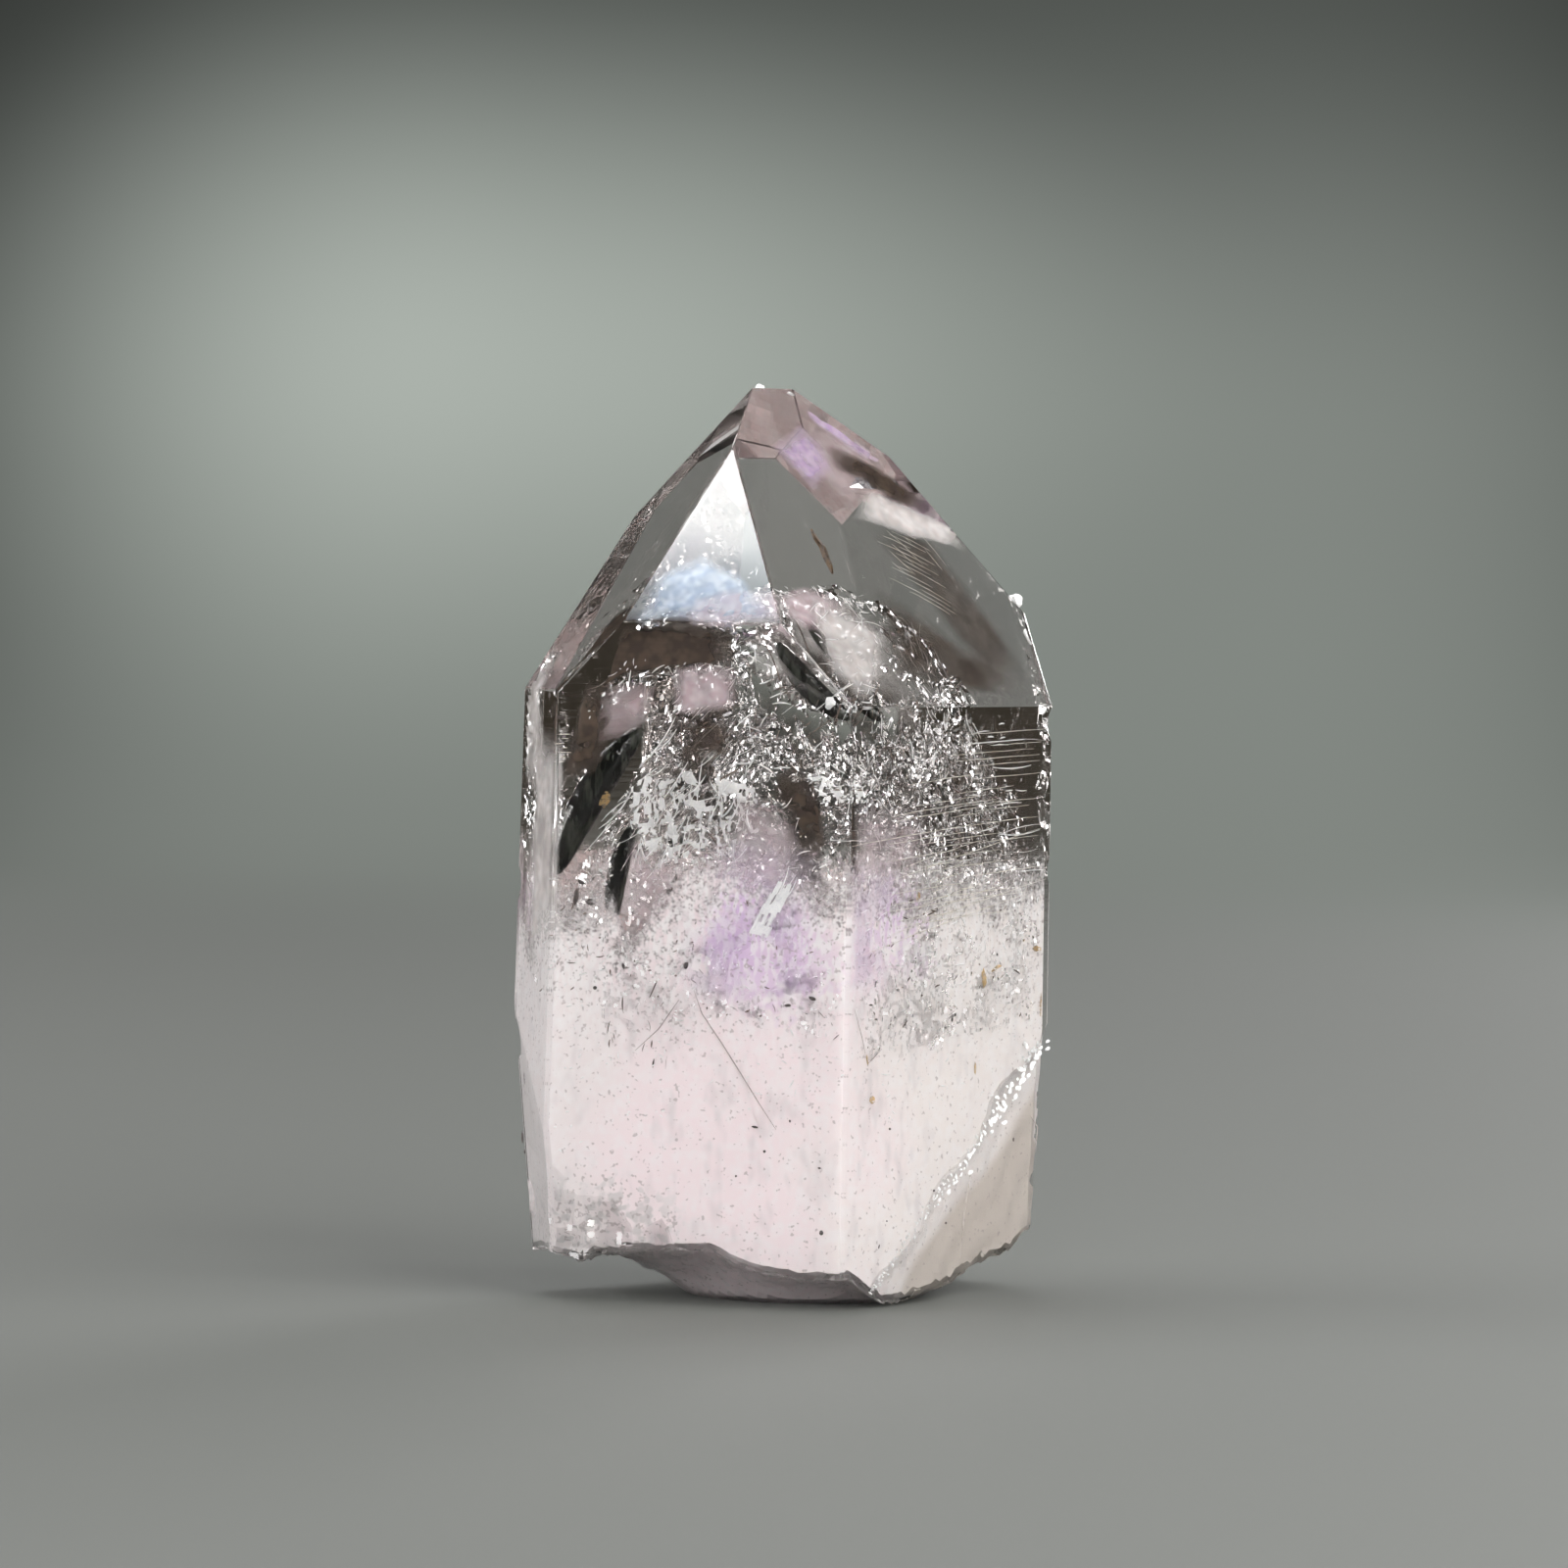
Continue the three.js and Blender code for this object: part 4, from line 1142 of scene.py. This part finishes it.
class QuartzLook(bpy.types.PropertyGroup):
    tint: bpy.props.FloatVectorProperty(
        name="Tint", description="Colour of light that has gone through the clear quartz", subtype="COLOR",
        size=3, min=0, max=1, default=(0.58, 0.47, 0.42))
    tint_density: bpy.props.FloatProperty(
        name="Tint Density", description="How fast the clear quartz tints light, per metre", min=0, default=14)
    ripple_depth: bpy.props.FloatProperty(
        name="Growth Lines", description="Depth of the growth lines on the faces", unit="LENGTH", min=0,
        default=0.00004)
    edge_softness: bpy.props.FloatProperty(
        name="Edge Softness", description="Width of the rounding along the crystal's edges", unit="LENGTH", min=0,
        default=0.00009)
    fracture_cell: bpy.props.FloatProperty(
        name="Fracture Cell", description="Size of the smallest forms on the broken places", unit="LENGTH",
        min=0.0001, default=0.00035)
    film_cell: bpy.props.FloatProperty(
        name="Film Cell", description="Size of the smallest wrinkles of the films inside", unit="LENGTH",
        min=0.0001, default=0.00017)


class MilkLook(bpy.types.PropertyGroup):
    pink: bpy.props.FloatVectorProperty(
        name="Middle", description="Colour of the cloudy quartz in the middle", subtype="COLOR", size=3,
        min=0, max=1, default=(0.985, 0.870, 0.892))
    grey: bpy.props.FloatVectorProperty(
        name="Left", description="Colour of the cloudy quartz at the left", subtype="COLOR", size=3,
        min=0, max=1, default=(0.930, 0.865, 0.865))
    cream: bpy.props.FloatVectorProperty(
        name="Right", description="Colour of the cloudy quartz at the right", subtype="COLOR", size=3,
        min=0, max=1, default=(0.940, 0.888, 0.868))
    shade: bpy.props.FloatVectorProperty(
        name="Veins", description="Colour of the thin clearer veins in the cloud", subtype="COLOR", size=3,
        min=0, max=1, default=(0.72, 0.68, 0.69))
    blush: bpy.props.FloatVectorProperty(
        name="Top of the Cloud", description="Colour of the cloud's top, which the crystal's tip shows",
        subtype="COLOR", size=3, min=0, max=1, default=(0.99, 0.82, 0.82))
    violet: bpy.props.FloatVectorProperty(
        name="Violet Zones", description="Colour of the violet zones at the top of the cloud", subtype="COLOR",
        size=3, min=0, max=1, default=(0.72, 0.52, 0.80))
    broken: bpy.props.FloatVectorProperty(
        name="Break", description="Colour behind the smooth break at the lower right", subtype="COLOR", size=3,
        min=0, max=1, default=(0.68, 0.62, 0.57))
    left_top: bpy.props.FloatProperty(
        name="Top at the Left", description="Height at which the cloud has faded away at the left",
        unit="LENGTH", min=0, default=0.0257)
    right_top: bpy.props.FloatProperty(
        name="Top at the Right", description="Height at which the cloud has faded away at the right",
        unit="LENGTH", min=0, default=0.0276)
    fade: bpy.props.FloatProperty(
        name="Fade", description="Height over which the cloud fades", unit="LENGTH", min=0, default=0.005)


class StudioSetup(bpy.types.PropertyGroup):
    distance: bpy.props.FloatProperty(
        name="Camera Distance", description="From the camera to the crystal's axis", unit="LENGTH", min=0.1,
        default=0.527)
    elevation: bpy.props.FloatProperty(
        name="Camera Elevation", description="How far the camera looks down", subtype="ANGLE",
        default=math.radians(1.8))
    roll: bpy.props.FloatProperty(
        name="Camera Roll", description="How far the camera is turned about its own axis", subtype="ANGLE",
        default=math.radians(1.0))
    floor: bpy.props.FloatVectorProperty(
        name="Floor", description="Colour of the floor", subtype="COLOR", size=3, min=0, max=1,
        default=(0.108, 0.114, 0.105))
    wall: bpy.props.FloatVectorProperty(
        name="Wall", description="Light that comes from the wall", subtype="COLOR", size=3, min=0, max=1,
        default=(0.195, 0.213, 0.195))
    dark_wall: bpy.props.FloatVectorProperty(
        name="Dark Side", description="Light that comes from the wall at the sides", subtype="COLOR", size=3,
        min=0, max=1, default=(0.034, 0.029, 0.021))
    key: bpy.props.FloatProperty(
        name="Key Light", description="Brightness of the light at the right front", min=0, default=7.2)
    right: bpy.props.FloatProperty(
        name="Right Light", description="Brightness of the light at the right", min=0, default=7)
    front: bpy.props.FloatProperty(
        name="Front Light", description="Brightness of the low light beside the camera", min=0, default=6.6)
    left: bpy.props.FloatProperty(
        name="Left Light", description="Brightness of the low light at the left", min=0, default=8.0)
    rim: bpy.props.FloatProperty(
        name="Rim Light", description="Brightness of the low light at the right back", min=0, default=16)
    back: bpy.props.FloatProperty(
        name="Back Light", description="Brightness of the light at the upper back", min=0, default=4.2)
    lamp: bpy.props.FloatProperty(
        name="Lamp Card", description="Brightness of the small card that the front end face mirrors", min=0,
        default=15)


# Operators

# Name, depth below the faces and rise of the fading top in millimetres, and cover of each layer of the cloud;
# the last one doesn't fade but ends in a lumpy top
MILKY_LAYERS = [("milky_skin", 0.45, 0.0, 0.95), ("milky_middle", 2.2, 0.6, 0.95), ("milky_heart", 4.2, None, 1.0)]


class PieceOperator(bpy.types.Operator):
    """Base of the operators that build pieces."""
    bl_options = {"REGISTER", "UNDO"}


class CRYSTAL_OT_clear_quartz(PieceOperator):
    """Build the clear crystal, with its flat faces, soft edges and broken places"""
    bl_idname = "crystal.clear_quartz"
    bl_label = "Clear Quartz"

    def execute(self, context):
        look = context.scene.crystal_quartz
        block = crystal_block(edge_softness=look.edge_softness / MM)
        mesh = carved(block, [step_cutter(), *rough_cutters(cell=look.fracture_cell / MM)], "clear_crystal")
        if not mesh.polygons:
            raise RuntimeError("the clear crystal came out empty")
        hollows = [film_block(film, look.film_cell / MM, 0.025) for film in FILMS]
        hollows.append(tubes([line for bundle in BUNDLES for line in bundle_lines(bundle)], 0.035))
        hollow_out(mesh, hollows)
        piece = finish_piece(mesh, "clear_crystal", clear_quartz_paint(look), smooth_below=8)
        piece.data.materials.append(hollow_film_paint())
        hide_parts("crystal_front", "crystal_back")
        return {"FINISHED"}


class CRYSTAL_OT_milky_quartz(PieceOperator):
    """Build the cloudy quartz at the foot, as layers one inside the other"""
    bl_idname = "crystal.milky_quartz"
    bl_label = "Milky Quartz"

    def execute(self, context):
        look = context.scene.crystal_milk
        highest = max(look.left_top, look.right_top) / MM
        for name, inset, lift, strength in MILKY_LAYERS:
            block = crystal_block(inset)
            cutters = rough_cutters(inset, 0.6)
            if lift is None:
                cutters.append(heart_top_cutter(look.left_top / MM, look.right_top / MM))
            else:
                cut_off(block, Vector((0, 0, highest + lift + 4)), Vector((0, 0, 1)))
            mesh = carved(block, cutters, name)
            if not mesh.polygons:
                raise RuntimeError(f"{name} came out empty")
            finish_piece(mesh, name, milky_quartz_paint(look, name, lift, strength), smooth_below=8)
        return {"FINISHED"}


class CRYSTAL_OT_water(PieceOperator):
    """Give the sealed water its dark look"""
    bl_idname = "crystal.water"
    bl_label = "Pocket Water"

    def execute(self, context):
        paint = pocket_water_paint()
        for name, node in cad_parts.items():
            if name.startswith("water_pocket"):
                node.data.materials.clear()
                node.data.materials.append(paint)
        return {"FINISHED"}


class CRYSTAL_OT_grains(PieceOperator):
    """Build the small things in the quartz: dark grains, iron stains, bruised white grains with painted glints among
    them, fine cracks and the amber rod
    """
    bl_idname = "crystal.grains"
    bl_label = "Grains and Marks"

    def execute(self, context):
        dark = grain_paint("dark_grain", (0.03, 0.025, 0.025), (0.12, 0.09, 0.085), 0.12, 0.5)
        # White paint for the bruised spots, flakes and strokes, and for the painted glints among them
        white = grain_paint("white_and_painted_glint", (0.86, 0.87, 0.88), (0.98, 0.98, 0.97), 0.12, 0.8)
        amber = grain_paint("amber_rod", (0.045, 0.022, 0.008), (0.15, 0.085, 0.035), 0.35, 0.4)
        brown = grain_paint("crack", (0.26, 0.20, 0.18), (0.46, 0.40, 0.38), 0.5, 0.7)
        soot = grain_paint("dark_stroke", (0.045, 0.028, 0.02), (0.22, 0.16, 0.13), 0.5, 0.6)
        thread = grain_paint("pale_thread", (0.66, 0.62, 0.52), (0.93, 0.91, 0.86), 0.8, 0.5)
        cracks = [smooth_line(pixels, 0.22) for pixels in CRACKS]
        pale = [line for bundle in PALE_BUNDLES for line in bundle_lines(bundle)]
        bright = [line for seed, strokes in enumerate(WHITE_STROKES) for line in stroke_lines(strokes, seed)]
        gaps = [line for seed, strokes in enumerate(DARK_STROKES) for line in stroke_lines(strokes, seed + 50)]
        cell = context.scene.crystal_quartz.film_cell / MM
        flakes = joined([film_block(flake, cell, 0.03) for flake in FLAKES])
        pieces = [
            ("white_flakes", flakes, white),
            ("dark_grains", grain_block(DARK_GRAINS, 0.25), dark),
            ("iron_stains", grain_block(STAINS, 0.4), stain_paint()),
            ("bruises_and_painted_glints", grain_block(BRUISES_AND_PAINTED_GLINTS + crumbs_along(BREAK_RIDGE, 240, 9), 0.45), white),
            ("fine_cracks", tubes(cracks, 0.032), brown),
            ("pale_threads", tubes(pale, 0.022), thread),
            ("white_strokes", tubes(bright, 0.034, 1.5), white),
            ("dark_strokes", tubes(gaps, 0.034, 1.5), soot),
            ("amber_rod", tubes([smooth_line(ROD, 3.0)], 0.30), amber),
        ]
        for name, bm, paint in pieces:
            if not bm.faces:
                raise RuntimeError(f"{name} came out empty")
            finish_piece(to_mesh(bm, name), name, paint, smooth_below=40)
        return {"FINISHED"}


class CRYSTAL_OT_clouds(PieceOperator):
    """Build the thin clouds in the clear quartz: dark sheets of painted shade, pale sheets that are partly haze and
    partly painted light, rose and lavender tints, and a bluish painted reflection
    """
    bl_idname = "crystal.clouds"
    bl_label = "Thin Clouds"

    def execute(self, context):
        # The dark sheets are painted shade, the pale ones partly painted light, and the bluish one a painted reflection
        kinds = [
            ("painted_shade_clouds", PAINTED_SHADE_CLOUDS, cloud_paint("painted_shade_cloud", (0.050, 0.030, 0.020), (0.09, 0.06, 0.04), 0.7)),
            ("rose_clouds", ROSE_CLOUDS, cloud_paint("rose_cloud", (0.82, 0.64, 0.69), (0.92, 0.80, 0.84), 0.42)),
            ("lavender_clouds", LAVENDER_CLOUDS,
             cloud_paint("lavender_cloud", (0.70, 0.52, 0.82), (0.84, 0.70, 0.90), 0.44)),
            ("haze_and_painted_light_clouds", HAZE_AND_PAINTED_LIGHT_CLOUDS, cloud_paint("haze_and_painted_light_cloud", (0.90, 0.84, 0.82), (0.95, 0.92, 0.91), 0.28)),
            ("painted_reflection_clouds", PAINTED_REFLECTION_CLOUDS, cloud_paint("painted_reflection_cloud", (0.38, 0.48, 0.64), (0.74, 0.82, 0.92), 0.85)),
        ]
        for name, clouds, paint in kinds:
            mesh = to_mesh(joined([cloud_block(cloud, 0.5) for cloud in clouds]), name)
            if not mesh.polygons:
                raise RuntimeError(f"{name} came out empty")
            finish_piece(mesh, name, paint, smooth_below=60)
        return {"FINISHED"}


class CRYSTAL_OT_studio(PieceOperator):
    """Set up the floor, the wall round it, the lights and the camera"""
    bl_idname = "crystal.studio"
    bl_label = "Studio"

    def execute(self, context):
        setup = context.scene.crystal_studio
        self.sweep(setup)
        self.lamp_card(setup)
        self.lights(setup)
        self.camera(context, setup)
        world = bpy.data.worlds.new("studio_air")
        world.color = (0.05, 0.055, 0.05)
        context.scene.world = world
        context.scene.view_settings.view_transform = "Standard"
        context.scene.cycles.max_bounces = 12
        context.scene.cycles.transmission_bounces = 12
        context.scene.cycles.glossy_bounces = 6
        context.scene.cycles.diffuse_bounces = 4
        context.scene.cycles.transparent_max_bounces = 24
        return {"FINISHED"}

    def sweep(self, setup):
        """A round floor that curves up into a round wall, in metres."""
        flat, curve, height = 0.62, 0.4, 1.3
        bm = bmesh.new()
        spots = [Vector((0, 0, 0)), Vector((0.12, 0, 0)), Vector((flat, 0, 0))]
        for step in range(1, 13):
            turn = math.pi / 2 * step / 12
            spots.append(Vector((flat + curve * math.sin(turn), 0, curve * (1 - math.cos(turn)))))
        spots.append(Vector((flat + curve, 0, height)))
        verts = [bm.verts.new(spot) for spot in spots]
        edges = [bm.edges.new(pair) for pair in zip(verts, verts[1:])]
        bmesh.ops.spin(bm, geom=verts + edges, cent=(0, 0, 0), axis=(0, 0, 1), angle=2 * math.pi,
                       steps=96, use_merge=True)
        bmesh.ops.remove_doubles(bm, verts=bm.verts, dist=1e-5)
        bmesh.ops.recalc_face_normals(bm, faces=bm.faces)
        mesh = to_mesh(bm, "studio_sweep")
        mesh.flip_normals()
        mesh.shade_smooth()
        mesh.materials.append(self.sweep_paint(setup))
        to_object(mesh, "studio_sweep")

    def sweep_paint(self, setup):
        paint = Paint("studio_sweep")
        spot = paint.place()
        x, y, z = paint.axes(spot)
        away = (x * x + y * y) ** 0.5
        floor = paint.node("ShaderNodeBsdfPrincipled", sockets={"Base Color": (*setup.floor, 1), "Roughness": 0.7})
        aside = (x + 62) / paint.ease(x, -62, -10, 95, 150)
        above = (z - 78) / 75
        ahead = paint.ease(y, 300, 600)
        glow = paint.ease((aside * aside + above * above) ** 0.5, 0.0, 1.0, 1.0, 0.0) * ahead
        off = (x - 10) * (x - 10)
        base = paint.ease(z, 60, 150, 1.15, 0.4) * (1.0 - ahead * paint.ease(off, 60 ** 2, 160 ** 2, 0.0, 0.6))
        turned = x / away
        behind = paint.ease(y / away, -0.5, 0.0, 0.35, 1.0)
        dark = paint.ease(turned * turned, 0.10, 0.40) * paint.ease(y / away, -0.6, -0.2)
        tone = paint.node("ShaderNodeVectorMath", {"operation": "SCALE"}, {
            0: setup.wall, "Scale": (base + glow) * behind})
        light = paint.node("ShaderNodeEmission", sockets={
            "Color": paint.blend(dark, tone, setup.dark_wall), "Strength": 1.0})
        starts = paint.ease(turned, 0.5, 0.9, 350, 180)
        lit = paint.ease(away, starts, starts + 420)
        wall = paint.node("ShaderNodeMixShader", sockets={0: lit, 1: floor, 2: light})
        return paint.finish(wall)

    def lights(self, setup):
        self.soft_light("key_light", (0.449, -0.499, 0.436), 0.54, 0.54, setup.key, (1.0, 0.985, 0.97))
        self.soft_light("right_light", (0.556, -0.039, 0.502), 0.28, 0.28, setup.right, (1.0, 0.985, 0.97))
        self.soft_light("front_light", (0.16, -0.72, 0.20), 0.56, 0.4, setup.front, (1.0, 0.99, 0.98))
        self.soft_light("left_light", (-0.735, -0.04, 0.20), 0.8, 0.46, setup.left, (1.0, 0.99, 0.99))
        self.soft_light("rim_light", (0.38, 0.70, 0.16), 0.3, 0.25, setup.rim, (1.0, 0.99, 1.0))
        self.soft_light("back_light", (-0.15, 0.45, 0.8), 0.6, 0.4, setup.back, (0.97, 0.98, 1.0))

    def lamp_card(self, setup):
        """A small glowing card above the crystal, which the front end face mirrors, brighter towards its back."""
        bm = bmesh.new()
        middle = Vector((-0.1085, -0.0905, 0.45))
        facing = (Vector((-0.005, -0.008, 0.046)) - middle).to_track_quat("Z", "Y").to_matrix().to_4x4()
        bmesh.ops.create_grid(bm, x_segments=1, y_segments=1, size=0.024,
                              matrix=Matrix.Translation(middle) @ facing)
        mesh = to_mesh(bm, "lamp_card")
        paint = Paint("lamp_card")
        x, y, _ = paint.axes(paint.place())
        shine = paint.ease(y + (x + 110) * 0.35, -97, -84, 0.13, 1.0)
        tint = paint.blend(shine, (0.72, 0.86, 1.0), (0.97, 1.0, 1.0))
        tone = paint.node("ShaderNodeVectorMath", {"operation": "SCALE"}, {0: tint, "Scale": shine})
        mesh.materials.append(paint.finish(paint.node("ShaderNodeEmission", sockets={
            "Color": tone, "Strength": setup.lamp})))
        to_object(mesh, "lamp_card")

    def soft_light(self, name, spot, width, height, brightness, colour):
        """A flat light that faces the crystal, its power set from the brightness of its face."""
        data = bpy.data.lights.new(name, "AREA")
        data.shape = "RECTANGLE"
        data.size = width
        data.size_y = height
        data.energy = brightness * width * height * math.pi
        data.color = colour
        lamp = bpy.data.objects.new(name, data)
        lamp.location = spot
        aim = Vector((0, 0, 0.03)) - Vector(spot)
        lamp.rotation_mode = "QUATERNION"
        lamp.rotation_quaternion = aim.to_track_quat("-Z", "Y")
        lamp.visible_camera = False
        bpy.context.scene.collection.objects.link(lamp)

    def camera(self, context, setup):
        forward, turn = camera_axes(setup.elevation, setup.roll)
        data = bpy.data.cameras.new("camera")
        data.sensor_width = 36
        data.lens = data.sensor_width * (setup.distance / MM) / (PICTURE / PIXELS_PER_MM)
        data.clip_start = 0.01
        data.clip_end = 10
        camera = bpy.data.objects.new("camera", data)
        context.scene.collection.objects.link(camera)
        camera.matrix_world = Matrix.Translation(AIM * MM - forward * setup.distance) @ turn
        context.scene.camera = camera


class CRYSTAL_PT_parts(bpy.types.Panel):
    """Lists the pieces of the crystal"""
    bl_label = "Enhydro Amethyst"
    bl_space_type = "VIEW_3D"
    bl_region_type = "UI"
    bl_category = "Crystal"

    def draw(self, context):
        for operator in OPERATORS:
            self.layout.operator(operator.bl_idname)
        for group in SETTINGS:
            box = self.layout.box()
            settings = getattr(context.scene, group)
            for name in settings.__annotations__:
                box.prop(settings, name)


OPERATORS = [
    CRYSTAL_OT_clear_quartz,
    CRYSTAL_OT_milky_quartz,
    CRYSTAL_OT_water,
    CRYSTAL_OT_grains,
    CRYSTAL_OT_clouds,
    CRYSTAL_OT_studio,
]
SETTINGS = {"crystal_quartz": QuartzLook, "crystal_milk": MilkLook, "crystal_studio": StudioSetup}


def register():
    for group in SETTINGS.values():
        bpy.utils.register_class(group)
    for name, group in SETTINGS.items():
        setattr(bpy.types.Scene, name, bpy.props.PointerProperty(type=group))
    for operator in OPERATORS:
        bpy.utils.register_class(operator)
    bpy.utils.register_class(CRYSTAL_PT_parts)


def unregister():
    bpy.utils.unregister_class(CRYSTAL_PT_parts)
    for operator in reversed(OPERATORS):
        bpy.utils.unregister_class(operator)
    for name, group in SETTINGS.items():
        delattr(bpy.types.Scene, name)
        bpy.utils.unregister_class(group)


def main():
    register()
    bpy.ops.crystal.clear_quartz()
    bpy.ops.crystal.milky_quartz()
    bpy.ops.crystal.water()
    bpy.ops.crystal.grains()
    bpy.ops.crystal.clouds()
    bpy.ops.crystal.studio()


if __name__ == "__main__":
    main()
